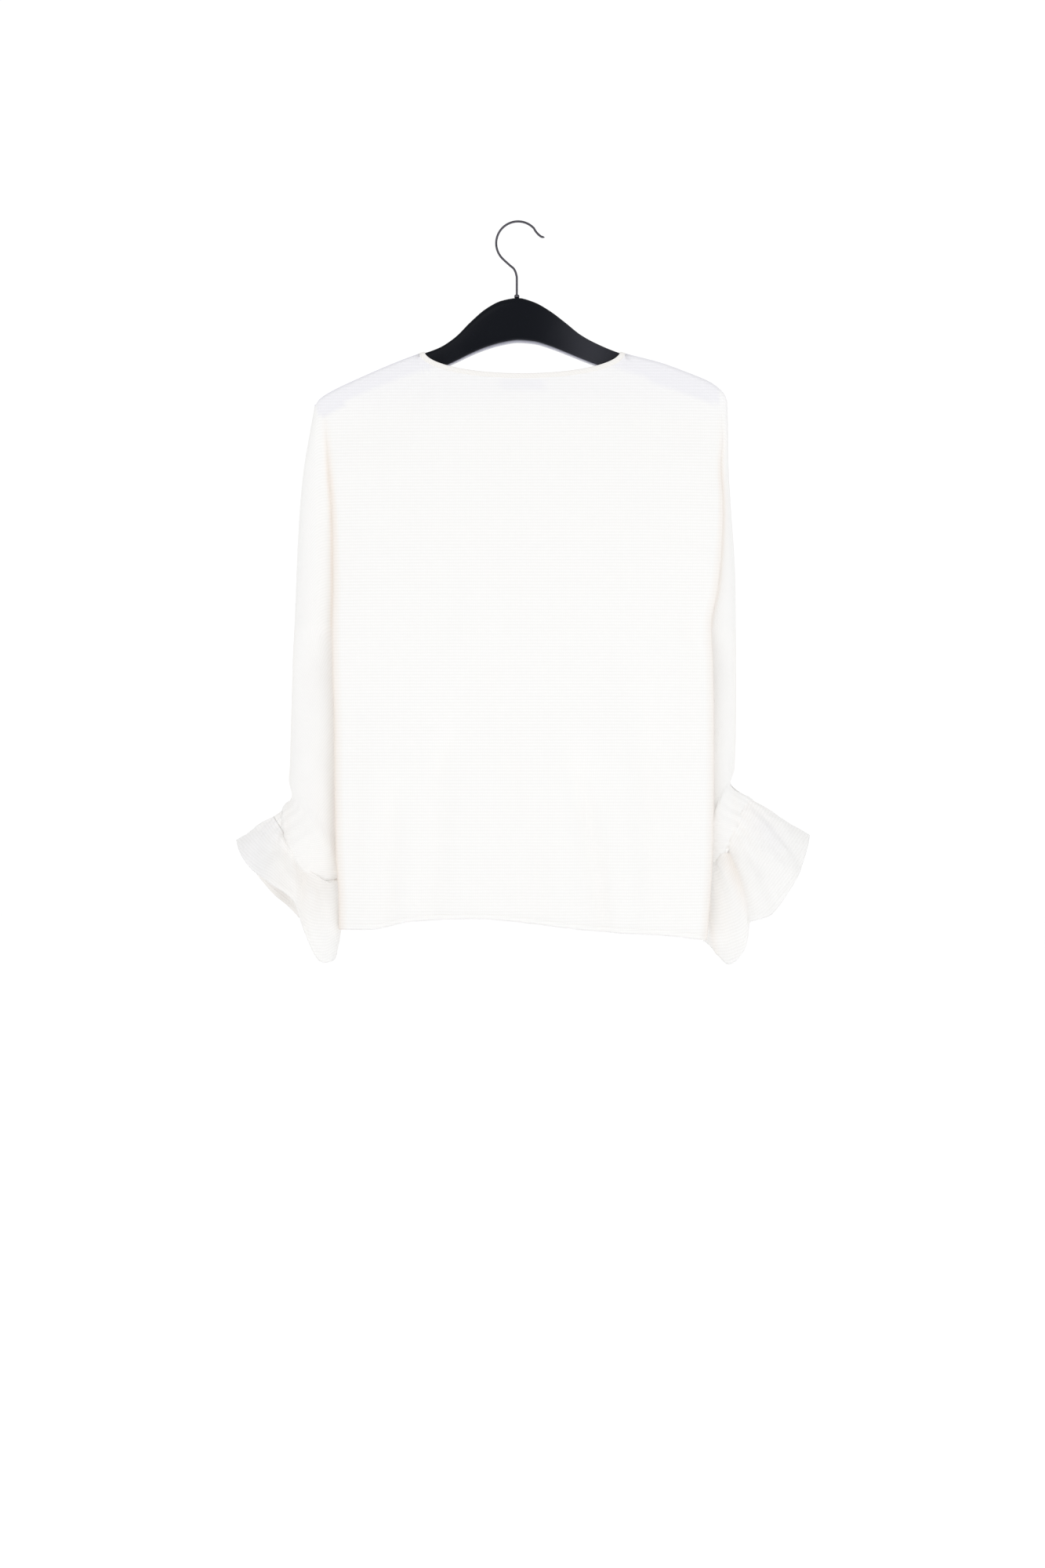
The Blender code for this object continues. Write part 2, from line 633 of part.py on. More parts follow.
def seam_ease(points, faces):
    """Moves each point on an open edge inwards a little, to leave the gap of a seam."""
    edges = {}
    for face in faces:
        for a, b in zip(face, face[1:] + face[:1]):
            key = (min(a, b), max(a, b))
            edges.setdefault(key, []).append(face)
    open_ends = {}
    for (a, b), around in edges.items():
        if len(around) == 1:
            open_ends.setdefault(a, []).append((b, around[0]))
            open_ends.setdefault(b, []).append((a, around[0]))
    moved = points.copy()
    for i, ends in open_ends.items():
        push = np.zeros(3)
        for other, face in ends:
            way = points[other] - points[i]
            inwards = points[list(face)].mean(axis=0) - (points[i] + points[other]) / 2
            inwards = inwards - way * (inwards @ way) / (way @ way)
            push += inwards / np.linalg.norm(inwards)
        length = max(np.linalg.norm(push), 1e-9)
        moved[i] += push / length * SEAM_PULL * min((2 / length) ** 4, MITRE_LIMIT)
    return moved


def object_from(name, points, faces, collection, material):
    """A smooth mesh object from points in millimetres."""
    mesh = bpy.data.meshes.new(name)
    mesh.from_pydata([tuple(p) for p in np.asarray(points) * MM], [], [tuple(f) for f in faces])
    obj = bpy.data.objects.new(name, mesh)
    collection.objects.link(obj)
    mesh.materials.append(material)
    mesh.shade_smooth()
    return obj


def add_wall(obj, thickness):
    """Gives an open sheet its wall, half of it on each side."""
    wall = obj.modifiers.new("Wall", "SOLIDIFY")
    wall.thickness = thickness * MM
    wall.offset = 0


def add_panel(name, side, collection, material):
    """Back or front, cut in one with its half of both sleeves."""
    points, faces = panel_grid(side)
    if side > 0:
        faces = [face[::-1] for face in faces]
    obj = object_from(name, seam_ease(points, faces), faces, collection, material)
    add_wall(obj, WALL)
    return obj


def ring_faces(rings, count, closed=False):
    """Faces between rings of equal counts; closed also joins the last ring to the first."""
    faces = []
    for r in range(rings if closed else rings - 1):
        for k in range(count):
            after = (k + 1) % count
            here, below = r * count, (r + 1) % rings * count
            faces.append((here + k, here + after, below + after, below + k))
    return faces


def gather_wave(turns):
    """Height of the gathers round a wrist, from 0 in a groove to 1 on a pleat."""
    return 0.5 + 0.5 * np.cos(2 * np.pi * GATHERS * turns)


def add_band(hand, collection, material):
    """Gathered casing: pleats raised on the outside over a plain inside."""
    count = GATHERS * POINTS_A_GATHER
    turns = np.arange(count) / count
    raise_by = GATHER_HEIGHT * gather_wave(turns)
    rings = []
    for reach in (-BAND_WIDTH / 2, 0, BAND_WIDTH / 2):
        ring = casing_ring(hand, turns, reach, WALL / 2)
        plain = casing_ring(hand, turns, reach, WALL / 2 + 1)
        rings.append(ring + (plain - ring) * raise_by[:, None])
    for reach in (BAND_WIDTH / 2, 0, -BAND_WIDTH / 2):
        rings.append(casing_ring(hand, turns, reach, -WALL / 2))
    faces = ring_faces(len(rings), count, closed=True)
    if CUFFS[hand].side < 0:
        faces = [face[::-1] for face in faces]
    return object_from("wrist_band_" + hand, np.concatenate(rings), faces, collection, material)


def add_ruffle(hand, collection, material):
    """Flounce: gathered at its root and falling in waves to its free edge."""
    table = LEFT_RUFFLE if hand == "left" else RIGHT_RUFFLE
    cuff = CUFFS[hand]
    count = GATHERS * POINTS_A_GATHER
    turns = np.arange(count) / count
    closed = table + (table[0]._replace(turn=1.0),)
    hem = np.stack([curve_through(closed, "turn", key, turns) for key in ("x", "y", "z")], 1)
    along_way = cuff_axes(hand)[1]
    root_reach = BAND_WIDTH / 2 + ROOT_GAP
    root = casing_ring(hand, turns, root_reach, 0)
    plain = casing_ring(hand, turns, root_reach, 1)
    out = plain - root
    wave = np.sin(2 * np.pi * RUFFLE_WAVES * turns + cuff.start_phase)
    wave += SLOW_SHARE * np.sin(2 * np.pi * SLOW_WAVES * turns + 2 * cuff.start_phase)
    wave *= np.sqrt(np.abs(np.sin(2 * np.pi * turns)))
    hangs = ((1 - np.cos(2 * np.pi * turns)) / 2)[:, None]
    leave = root + (along_way * (1 - hangs) + np.array([0, 0, -1]) * hangs) * RUFFLE_LEAVE
    spread = (root + 2 * hem) / 3 + along_way * RUFFLE_LIFT
    drop = hem + np.array([-cuff.side * RUFFLE_IN, 0, RUFFLE_DROP])
    fall = spread + (drop - spread) * hangs
    rings = []
    for r in np.linspace(0, 1, RUFFLE_ROWS + 1):
        near = root * (1 - r) ** 3 + leave * 3 * r * (1 - r) ** 2
        ring = near + fall * 3 * r * r * (1 - r) + hem * r**3
        pleat = GATHER_HEIGHT * RUFFLE_GATHER * gather_wave(turns) * (1 - r) ** 2
        rings.append(ring + out * (pleat + WAVE_HEIGHT * wave * r * r)[:, None])
    faces = ring_faces(len(rings), count)
    if cuff.side > 0:
        faces = [face[::-1] for face in faces]
    obj = object_from("ruffle_" + hand, np.concatenate(rings), faces, collection, material)
    add_wall(obj, WALL)
    return obj


def add_binding(collection, material):
    """Bias strip round the whole neck edge, over both shoulder seams."""
    loops = []
    for offset in (0.0, BINDING_WIDTH):
        lines = []
        for side in (-1, 1):
            line = neck_curve(side, offset)
            y = body_y(side, line[:, 0], line[:, 1])
            y[[0, -1]] = 0
            lines.append(np.stack([line[:, 0], y, line[:, 1]], 1))
        loops.append(np.concatenate([lines[0], lines[1][-2:0:-1]]))
    count = len(loops[0])
    faces = ring_faces(2, count)
    obj = object_from("neck_binding", np.concatenate(loops), faces, collection, material)
    add_wall(obj, BINDING_WALL)
    return obj


def add_label(collection, material):
    """Blank label on the inside of the back, just below the neck."""
    inset = WALL / 2 + SEAM_GAP + LABEL_WALL / 2
    x, z = np.meshgrid(np.linspace(*LABEL_X, 7), np.linspace(*LABEL_Z, 3))
    y = body_y(-1, x, z) + inset
    points = np.stack([x, y, z], -1).reshape(-1, 3)
    faces = []
    for r in range(2):
        for k in range(6):
            i = r * 7 + k
            faces.append((i, i + 7, i + 8, i + 1))
    obj = object_from("neck_label", points, faces, collection, material)
    add_wall(obj, LABEL_WALL)
    return obj


def curve_object(name, points, collection, material):
    """A straight-sided curve through points in millimetres."""
    curve = bpy.data.curves.new(name, "CURVE")
    spline = curve.splines.new("POLY")
    spline.points.add(len(points) - 1)
    for point, place in zip(spline.points, points):
        point.co = (*(np.array(place, float) * MM), 1)
    obj = bpy.data.objects.new(name, curve)
    collection.objects.link(obj)
    curve.materials.append(material)
    return obj


def add_hanger(collection, material):
    """Flat outline of the hanger, stood upright and given its thickness and rounded edges."""
    inner = [row.x for row in HANGER if HANGER_ENDS[0] + 2 < row.x < HANGER_ENDS[1] - 2]
    x = np.array([HANGER_ENDS[0], *inner, HANGER_ENDS[1]])
    top = [(a, b, 0) for a, b in zip(x, curve_through(HANGER, "x", "top", x))]
    bottom = [(a, b, 0) for a, b in zip(x, curve_through(HANGER, "x", "bottom", x))][::-1]
    obj = curve_object("hanger_body", top + bottom, collection, material)
    obj.data.dimensions = "2D"
    obj.data.fill_mode = "BOTH"
    obj.data.splines[0].use_cyclic_u = True
    obj.data.extrude = (HANGER_HALF - HANGER_EDGE) * MM
    obj.data.bevel_depth = HANGER_EDGE * MM
    obj.data.bevel_resolution = 1
    obj.data.offset = -HANGER_EDGE * MM
    obj.rotation_euler.x = np.pi / 2
    return obj


def add_hook(collection, material):
    """Wire hook: a flick at its tip, half a turn over the top, then down to the hanger."""
    arc = [
        (HOOK_RADIUS * np.cos(a), HOOK_CENTRE_Z + HOOK_RADIUS * np.sin(a))
        for a in np.radians(np.linspace(HOOK_ARC_FROM, HOOK_ARC_TO, HOOK_ARC_STEPS + 1))
    ]
    line = [*HOOK_TAIL, *arc, *HOOK_STEM, (STEM_X, STEM_FOOT_Z)]
    points = [(x, 0, z) for x, z in line]
    obj = curve_object("hanger_hook", points, collection, material)
    obj.data.dimensions = "3D"
    obj.data.bevel_depth = WIRE_RADIUS * MM
    obj.data.bevel_resolution = 2
    obj.data.use_fill_caps = True
    return obj


def add_collar(collection, material):
    """Small metal collar between the hook's stem and the hanger."""
    mesh = bpy.data.meshes.new("hook_collar")
    shape = bmesh.new()
    bmesh.ops.create_cone(
        shape,
        cap_ends=True,
        segments=16,
        radius1=COLLAR_RADIUS * MM,
        radius2=COLLAR_RADIUS * MM,
        depth=COLLAR_HEIGHT * MM,
    )
    shape.to_mesh(mesh)
    shape.free()
    obj = bpy.data.objects.new("hook_collar", mesh)
    obj.location = (STEM_X * MM, 0, (STEM_FOOT_Z - SEAM_GAP - COLLAR_HEIGHT / 2) * MM)
    collection.objects.link(obj)
    mesh.materials.append(material)
    return obj


def new_material(name, colour, roughness, metallic=0.0):
    """Plain finish of one slot."""
    material = bpy.data.materials.new(name)
    material.use_nodes = True
    shader = material.node_tree.nodes["Principled BSDF"]
    shader.inputs["Base Color"].default_value = (*colour, 1)
    shader.inputs["Roughness"].default_value = roughness
    shader.inputs["Metallic"].default_value = metallic
    return material


def main():
    """Clears the scene and builds every piece."""
    for obj in list(bpy.data.objects):
        bpy.data.objects.remove(obj, do_unlink=True)
    collection = bpy.data.collections.new("Blouse on hanger")
    bpy.context.scene.collection.children.link(collection)
    crepe = new_material("crepe_ivory", (0.93, 0.92, 0.89), 0.8)
    bias = new_material("bias_binding", (0.90, 0.87, 0.81), 0.75)
    plain = new_material("plain_label", (0.78, 0.78, 0.78), 0.7)
    plastic = new_material("black_plastic", (0.006, 0.008, 0.011), 0.15)
    chrome = new_material("chrome_wire", (0.75, 0.75, 0.76), 0.12, 1.0)
    add_panel("back_panel", -1, collection, crepe)
    add_panel("front_panel", 1, collection, crepe)
    add_binding(collection, bias)
    add_label(collection, plain)
    for hand in ("left", "right"):
        add_band(hand, collection, crepe)
        add_ruffle(hand, collection, crepe)
    add_hanger(collection, plastic)
    add_hook(collection, chrome)
    add_collar(collection, chrome)


main()
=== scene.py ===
"""Looks of a crepe blouse on a plastic hanger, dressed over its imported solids.

The blouse hangs with its back towards -Y. Back and front are each cut in one with their half of
both sleeves, the neck is bound with a bias strip, and each wrist has a gathered casing with a deep
flounce. Shapes are worked out in millimetres, on the same sections as the solids but finer, and
become metres when a mesh is made.
"""

import logging
from dataclasses import dataclass, field
from enum import Enum, IntEnum
from typing import NamedTuple, Optional, Sequence, Union

import bpy
import numpy as np
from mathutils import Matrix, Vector


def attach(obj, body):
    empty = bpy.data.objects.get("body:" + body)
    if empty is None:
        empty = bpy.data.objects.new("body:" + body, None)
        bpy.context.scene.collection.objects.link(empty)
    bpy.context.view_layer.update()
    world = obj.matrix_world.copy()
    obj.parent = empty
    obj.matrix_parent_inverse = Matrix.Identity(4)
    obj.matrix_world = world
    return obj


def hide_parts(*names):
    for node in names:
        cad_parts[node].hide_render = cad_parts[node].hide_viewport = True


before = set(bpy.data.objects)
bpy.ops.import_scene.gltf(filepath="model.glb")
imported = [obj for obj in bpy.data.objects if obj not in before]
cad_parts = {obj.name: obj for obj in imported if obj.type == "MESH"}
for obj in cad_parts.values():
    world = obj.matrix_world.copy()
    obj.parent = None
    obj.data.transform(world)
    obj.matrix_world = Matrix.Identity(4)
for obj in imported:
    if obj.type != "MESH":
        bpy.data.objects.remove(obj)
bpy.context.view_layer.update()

MM = 0.001
LOG = logging.getLogger("blouse")

Array = np.ndarray
Thing = bpy.types.Object
Material = bpy.types.Material
Number = Union[float, "Value"]


class Side(Enum):
    """The two halves of the garment, by the way each faces along Y."""

    BACK = -1
    FRONT = 1


class Hand(Enum):
    """The two sleeves as the back is seen, by their way along X."""

    LEFT = -1
    RIGHT = 1

    @property
    def word(self) -> str:
        """The hand's name as it stands in node names."""
        return self.name.lower()


class Seed(IntEnum):
    """Which pattern of noise each use draws; the number of a side or hand is added to some."""

    BODY = 3
    PLEAT_SHIFT = 11
    PLEAT_HEIGHT = 12
    SLEEVE = 21
    CRUMPLE = 31
    SLEEVE_SOFT = 41
    CASING = 51
    FLOUNCE = 61
    FLOUNCE_SOFT = 71


class HangerPlace(NamedTuple):
    """Top and bottom of the hanger's face at a place along it."""

    x: float
    top: float
    bottom: float


class Level(NamedTuple):
    """Edges of the garment at a height: each sleeve, and the fold where the body overlaps it."""

    z: float
    left_outer: float
    left_fold: float
    right_fold: float
    right_outer: float


class Depth(NamedTuple):
    """How deep the garment stands at a height; a tuck is how far its fold runs back inside."""

    z: float
    back: float
    front: float
    edge: float
    tuck_left: float
    tuck_right: float
    back_valley: float
    front_valley: float
    seam: float


class HemPlace(NamedTuple):
    """Height of both hems at a place across the body."""

    x: float
    back: float
    front: float


class NeckPlace(NamedTuple):
    """A point of the front neckline."""

    x: float
    z: float


class Fold(NamedTuple):
    """A soft trough (depth above zero) or ridge of the cloth, from its top to its bottom."""

    x_top: float
    z_top: float
    x_bottom: float
    z_bottom: float
    width: float
    depth: float


class SleeveRow(NamedTuple):
    """A section of the sleeve below the underarm, outer end then inner end."""

    x_outer: float
    z_outer: float
    x_inner: float
    z_inner: float
    centre: float
    back: float
    front: float


class CuffPlace(NamedTuple):
    """Where a casing lies, how it leans, and how far the sleeve droops over it."""

    x: float
    y: float
    z: float
    angle: float
    half: float
    droop: float
    phase: float


class Lamp(NamedTuple):
    """A square soft light, in metres and watts."""

    name: str
    place: tuple
    power: float
    aim: tuple


class Lap(NamedTuple):
    """Last rows of a sleeve over its casing: plain, and where it droops over it."""

    reach: float
    grow: float
    droop_reach: float
    droop_grow: float
    droop_share: float


class FlounceShape(NamedTuple):
    """How a flounce leaves its casing; a valley is its turn, its width and its share of depth."""

    inward: float
    swell: float
    swell_at: float
    root_reach: float
    root_grow: float
    valleys: tuple


class FlouncePlace(NamedTuple):
    """A point of a flounce's free edge, once round from its outer tip over the near layer."""

    turn: float
    x: float
    z: float
    y: float


def rows_of(kind: type, *rows: tuple) -> tuple:
    """A table whose rows carry the kind's names."""
    return tuple(kind(*row) for row in rows)


HANGER = rows_of(
    HangerPlace, (-224, -204, -207), (-219, -197.5, -217), (-205.3, -188.8, -213.5),
    (-183.6, -178.4, -198), (-160.1, -167.9, -188), (-135.7, -157.5, -179),
    (-113.1, -148.8, -169.6), (-87, -139.4, -160.5), (-69.6, -127.9, -153.1),
    (-52.2, -110.5, -144.9), (-34.8, -95.7, -138), (-17.4, -87, -133.1), (0, -84.2, -130.5),
    (17.4, -88.7, -131.8), (34.8, -98.3, -136.6), (52.2, -111.4, -143.1), (69.6, -125.3, -150),
    (87, -134.9, -156.6), (113.1, -145.6, -165), (157.5, -157.5, -182), (186.2, -167.9, -193),
    (212.3, -178.9, -201), (221.9, -185.6, -205), (227.9, -191.8, -207), (231.4, -199.6, -207),
    (232.4, -205.6, -208),
)
LEVELS = rows_of(
    Level, (-204, -225.2, -214.5, 224.5, 232.2), (-240, -232, -211.4, 225.4, 233),
    (-271, -237.5, -208.8, 223.4, 233.7), (-320, -242.6, -204.6, 225.6, 236.7),
    (-365, -245.3, -203.4, 223.8, 240.2), (-407, -247.1, -203, 219.7, 242),
    (-449, -248.8, -203.9, 212.3, 242.3), (-490, -250.6, -203.6, 214, 242.5),
    (-553, -252.3, -201.6, 214.9, 242.6), (-623, -254.9, -201, 214.9, 241.2),
    (-693, -256, -200, 214, 241), (-745, -256, -197, 211.4, 241),
    (-796, -256, -196.4, 207.5, 241),
)
DEPTHS = rows_of(
    Depth, (-147, -8.3, 8.3, -8.3, -5, -3, -8.3, 8.3, 0),
    (-204, -14, 12, -8.3, -5, -3, -8.3, 8.3, 0), (-235, -17.3, 15.4, -9.8, -4, -3, -9, 8, 1.3),
    (-262, -20.2, 18.2, -11.2, -3, -1, -8.2, 7.6, 2.6),
    (-295, -23.2, 21.2, -13.2, -2, 2, -8, 7.1, 4.1),
    (-330, -26, 24, -15, -1.5, 7, -7.5, 6.5, 5.5), (-400, -30, 29, -18.5, 1, 20, -7, 5.5, 7.5),
    (-449, -32, 32, -20, 5, 30, -5, 4.8, 8), (-490, -33, 33, -20, 18, 30, -3, -3, 8),
    (-620, -35, 35, -20, 15, 22, -5, -5, 8), (-796, -37, 38, -17, 14, 16, -4, -4, 8),
)
HEM = rows_of(
    HemPlace, (-205, -783, -783.5), (-165.3, -782, -781), (-121.8, -773.4, -776),
    (-52.2, -770, -772), (17.4, -776, -772), (87, -783.9, -776), (165.3, -789.1, -786),
    (215, -795.2, -794),
)
NECK_Z = -144.4
FRONT_NECK = rows_of(
    NeckPlace, (-103.5, NECK_Z), (-100, -154), (-84, -184), (-56, -240), (-40, -285), (-30, -345),
    (-17.4, -400), (18, -352), (58, -308), (90, -268), (107, -215), (112, -165), (113.1, NECK_Z),
)
FOLDS = {
    Side.BACK: rows_of(
        Fold, (-28, -400, 8, -775, 17, 5), (62, -560, 98, -790, 14, 9),
        (140, -470, 148, -790, 18, 6), (104, -470, 122, -800, 20, -5),
        (-70, -520, -98, -790, 15, 5), (-134, -600, -146, -790, 13, 7),
        (-178, -470, -180, -790, 11, 4), (188, -320, 182, -600, 12, 4),
        (35, -520, 52, -790, 16, -4),
    ),
    Side.FRONT: rows_of(
        Fold, (-60, -330, -88, -790, 18, 7), (58, -380, 74, -790, 20, 8),
        (132, -420, 140, -800, 16, 6), (-132, -430, -140, -790, 15, 6),
        (-10, -440, -14, -780, 19, -6), (100, -500, 108, -790, 15, -5),
    ),
}
# Narrower creases that the solids leave out, uneven in length, depth and place
CREASES = {
    Side.BACK: rows_of(
        Fold, (-66, -560, -96, -640, 6, 2.2), (64, -590, 86, -720, 6.5, 2.6),
        (84, -690, 96, -800, 7, 3), (-132, -620, -144, -690, 6, 1.8),
        (-140, -690, -134, -790, 5.5, 1.6), (150, -600, 140, -740, 7, 1.4),
        (176, -380, 190, -520, 6, 1.5), (-190, -300, -184, -430, 7, 1.6),
        (-168, -560, -172, -720, 6, 1.3), (20, -640, 30, -780, 8, 1.5),
        (-30, -700, -24, -790, 7, -1.4), (118, -620, 128, -790, 7, -1.6),
        (-96, -172, -150, -260, 9, 1), (104, -172, 150, -270, 9, 1),
        (-200, -640, -170, -700, 7, 1.2),
    ),
    Side.FRONT: rows_of(
        Fold, (-50, -420, -84, -560, 6, 2), (48, -420, 78, -600, 7, 2.4),
        (74, -600, 84, -790, 7, 2.4), (-134, -560, -140, -780, 6, 2.2),
        (140, -520, 132, -700, 7, 1.8), (-20, -420, -30, -520, 7, 1.6),
        (-112, -180, -150, -300, 9, 1.2), (116, -180, 150, -300, 9, 1.2),
        (16, -560, 10, -780, 8, 1.5), (-170, -420, -166, -640, 7, 1.4),
    ),
}
SLEEVES = {
    Hand.LEFT: rows_of(
        SleeveRow, (-250.4, -484, -193, -486, 6, 7, 18), (-251.6, -527, -194, -533, 7, 11, 18),
        (-252.9, -567, -195, -580, 7.5, 14, 18), (-254, -604, -197, -632, 8, 17, 19),
        (-254.8, -620, -199, -678, 8, 19, 19),
    ),
    Hand.RIGHT: rows_of(
        SleeveRow, (242.5, -484, 184, -486, 6, 6, 18), (242.6, -520, 186, -533, 7, 9, 18),
        (242.4, -555, 189, -580, 7.5, 12, 18), (241.8, -588, 195, -627, 8, 14, 18),
        (240.6, -608, 201, -665, 8, 15, 16),
    ),
}
CUFFS = {
    Hand.LEFT: CuffPlace(-238.4, 7.0, -691.0, 34.0, 43.5, 26.0, 0.4),
    Hand.RIGHT: CuffPlace(234.5, 7.0, -672.9, 26.3, 36.4, 2.0, 1.3),
}
FULL_DROOP = 15.0
LAPS = rows_of(
    Lap, (-8, 7, -9, 10, 0), (-2.5, 5.1, 0, 9, 0.6), (1, 4.3, 1.5, 7.4, 1), (3.5, 4, 3, 4.5, 1),
    (4.2, 0.5, 2.8, -1.5, 1),
)
FLOUNCES = {
    Hand.LEFT: rows_of(
        FlouncePlace, (0, -313, -686, 4), (0.08, -300, -710, -20), (0.17, -272, -738, -30),
        (0.26, -245, -759, -26), (0.34, -233, -788, -25), (0.41, -216, -819, -19),
        (0.46, -203, -813, -11), (0.51, -198, -797, 1), (0.58, -210, -804, 18),
        (0.67, -236, -784, 32), (0.77, -262, -760, 36), (0.87, -291, -730, 30),
        (0.95, -309, -698, 16),
    ),
    Hand.RIGHT: rows_of(
        FlouncePlace, (0, 324, -680, 4), (0.08, 315, -706, -20), (0.17, 299, -736, -28),
        (0.26, 276, -766, -32), (0.33, 254, -774, -26), (0.4, 250, -800, -24),
        (0.46, 231, -821, -15), (0.51, 216, -808, -4), (0.56, 208.5, -796, 8),
        (0.64, 228, -794, 24), (0.72, 254, -774, 34), (0.84, 288, -744, 32),
        (0.94, 314, -702, 16),
    ),
}

CLOTH_WALL = 0.8
CLOTH_OVER_ARM = 1.4
ARM_ROUND = 5.0
NECK_CENTRE_X = 4.8
NECK_HALF, NECK_DROP = 108.3, 25.3
NECK_SETTLES_OVER = 10.0
BINDING_WIDTH, BINDING_WALL = 5.8, 1.6
UNDERARM_Z = -449.0
WRAP_TURN = float(np.radians(65))
SHOULDER_CROWD = 1.7
BODY_EDGE = (0.95, 0.985)
SLEEVE_TOP_Z = -215.0
SLEEVE_FILLS_OVER = 200.0
GATHERS = 22
# The right sleeve's cloth runs on over the casing by this much
LAP_COVERS = 15.0
# The left flounce's near layer hangs this much higher than its far layer
NEAR_HEM_RISE = 8.0
BAND_WIDTH, BAND_DEPTH = 20.0, 7.5
LABEL_X, LABEL_Z = (-23.5, 26.0), (-190.5, -176.0)
# Shares of the full relief that each side shows, for its folds and for its narrow creases
FOLD_SHARE = {Side.BACK: 0.75, Side.FRONT: 1.0}
CREASE_SHARE = {Side.BACK: 0.55, Side.FRONT: 1.0}
UPPER_BULGE = {Side.BACK: 4.5, Side.FRONT: 14.0}
# Power of the section's rounding; behind, it grows rounder above a height, over a stretch
SECTION_POWER = {Side.BACK: 3, Side.FRONT: 2.4}
UPPER_ROUNDS_FROM, UPPER_ROUNDS_OVER = -275.0, 60.0
# Slow unevenness of the cloth: its height, its lengths across and down, where it starts
CLOTH_RIPPLE = 0.9
RIPPLE_ACROSS, RIPPLE_DOWN = 34.0, 120.0
RIPPLE_FROM, RIPPLE_OVER = -200.0, 300.0
# How far a gather leans, in gathers, and the mean and the change of its height
GATHER_LEAN, GATHER_MEAN, GATHER_VARIES = 0.45, 0.62, 0.38
PLEAT_DEPTH = {Hand.LEFT: 1.0, Hand.RIGHT: 1.7}
CRUMPLE = {Hand.LEFT: 2.0, Hand.RIGHT: 1.2}
SHOULDER_PIVOT = (210.0, -200.0)
# The cloth's neck edge stands this far inside the binding's outer edge
UNDER_BINDING = 1.0
# The hanger's painted shadow shows through the shoulders as far out as its tip, with a darker
# painted line of shade on its arms
ARM_TIP_X, ARM_EDGE_FROM_X = 224.0, 90.0
# Share of the way down a sleeve where its pleats start, and over which they deepen
PLEATS_FROM, PLEATS_OVER = 0.72, 0.26
STITCH_LIFT = 0.1
BODY_HEM, FLOUNCE_HEM, HEM_EDGE = 9.0, 7.0, 0.8
LABEL_GAP, LABEL_BOW = 0.35, 0.35
FLOUNCE_SHAPES = {
    Hand.LEFT: FlounceShape(48.0, 6.0, 0.15, BAND_WIDTH / 2 + 0.2, 0.8, ((0.29, 0.025, 0.7),)),
    Hand.RIGHT: FlounceShape(
        14.0, 0.8, 0.09, BAND_WIDTH / 2 - 6.5, 2.6, ((0.33, 0.03, 1.0), (0.44, 0.02, 0.3))
    ),
}
LAMP_SIZE = 1.8
LAMPS = (
    Lamp("key", (-1.1, -2.3, 0.5), 7.8, (0, 0, -0.45)),
    Lamp("fill", (1.3, -2.1, -0.2), 6.4, (0, 0, -0.5)),
)


def smooth(x: Array, y: Array, at: Array) -> Array:
    """Cubic through points, with slopes that never overshoot, level past its ends.

    Args:
        x: rising places of the points.
        y: their values.
        at: where the curve is read.

    Returns:
        The curve's values.
    """
    step = np.diff(y) / np.diff(x)
    slope = np.zeros(len(x))
    same_way = step[:-1] * step[1:] > 0
    mean = 2 * step[:-1] * step[1:] / np.where(same_way, step[:-1] + step[1:], 1)
    slope[1:-1] = np.where(same_way, mean, 0)
    slope[0], slope[-1] = step[0], step[-1]
    at = np.clip(np.asarray(at, float), x[0], x[-1])
    i = np.clip(np.searchsorted(x, at) - 1, 0, len(x) - 2)
    run = x[i + 1] - x[i]
    t = (at - x[i]) / run
    rise = (y[i + 1] - y[i]) * (3 - 2 * t) * t * t
    bend = run * t * (1 - t) * (slope[i] * (1 - t) - slope[i + 1] * t)
    return y[i] + rise + bend


def through(rows: Sequence[NamedTuple], key: str, value: str, at: Array) -> Array:
    """Smooth curve through one named column of a table, read along another.

    Args:
        rows: the table.
        key: column that says where.
        value: column that is read.
        at: where it is read.

    Returns:
        The values there.
    """
    x = np.array([getattr(row, key) for row in rows], float)
    y = np.array([getattr(row, value) for row in rows], float)
    order = np.argsort(x)
    return smooth(x[order], y[order], at)


def ease(t: Array) -> Array:
    """Rises from 0 to 1 with level ends."""
    t = np.clip(t, 0, 1)
    return t * t * (3 - 2 * t)


def bell(distance: Array, width: float) -> Array:
    """A soft bump of 1 at zero that has faded a width away."""
    return np.exp(-np.square(np.asarray(distance) / width))


def unit(vectors: Array) -> Array:
    """The same vectors, each of length 1."""
    return vectors / np.linalg.norm(vectors, axis=-1, keepdims=True)


def run_along(points: Array) -> Array:
    """Length along a line of points, or down each column of a grid, from the first row."""
    steps = np.linalg.norm(np.diff(points, axis=0), axis=-1)
    return np.concatenate([np.zeros((1, *steps.shape[1:])), np.cumsum(steps, axis=0)])


def squared_circle(angle: Array, power: float) -> Sequence[Array]:
    """Places across and up round a circle, squarer as the power falls below 1."""
    return [np.sign(way) * np.abs(way) ** power for way in (np.cos(angle), np.sin(angle))]


def from_end(hand: Hand, places: Array, count: int) -> Array:
    """Columns of a row of this many, counted from the sleeve's own end."""
    return places if hand is Hand.LEFT else count - 1 - places


def level(name: str, z: Array) -> Array:
    """Place across the garment of a named edge at each height."""
    return through(LEVELS, "z", name, z)


def depth(name: str, z: Array) -> Array:
    """Named depth of the garment at each height."""
    return through(DEPTHS, "z", name, z)


def arm_line(x: Array) -> Array:
    """Height of the cloth on the hanger's arms, which the shoulder seam follows."""
    return through(HANGER, "x", "top", x) + CLOTH_OVER_ARM


def over_arm(drop: Array) -> Array:
    """Share of its full half depth that the cloth has reached this far below the arm line."""
    t = np.clip(drop / ARM_ROUND, 0, 1)
    return np.sqrt(1 - (1 - t) ** 2)


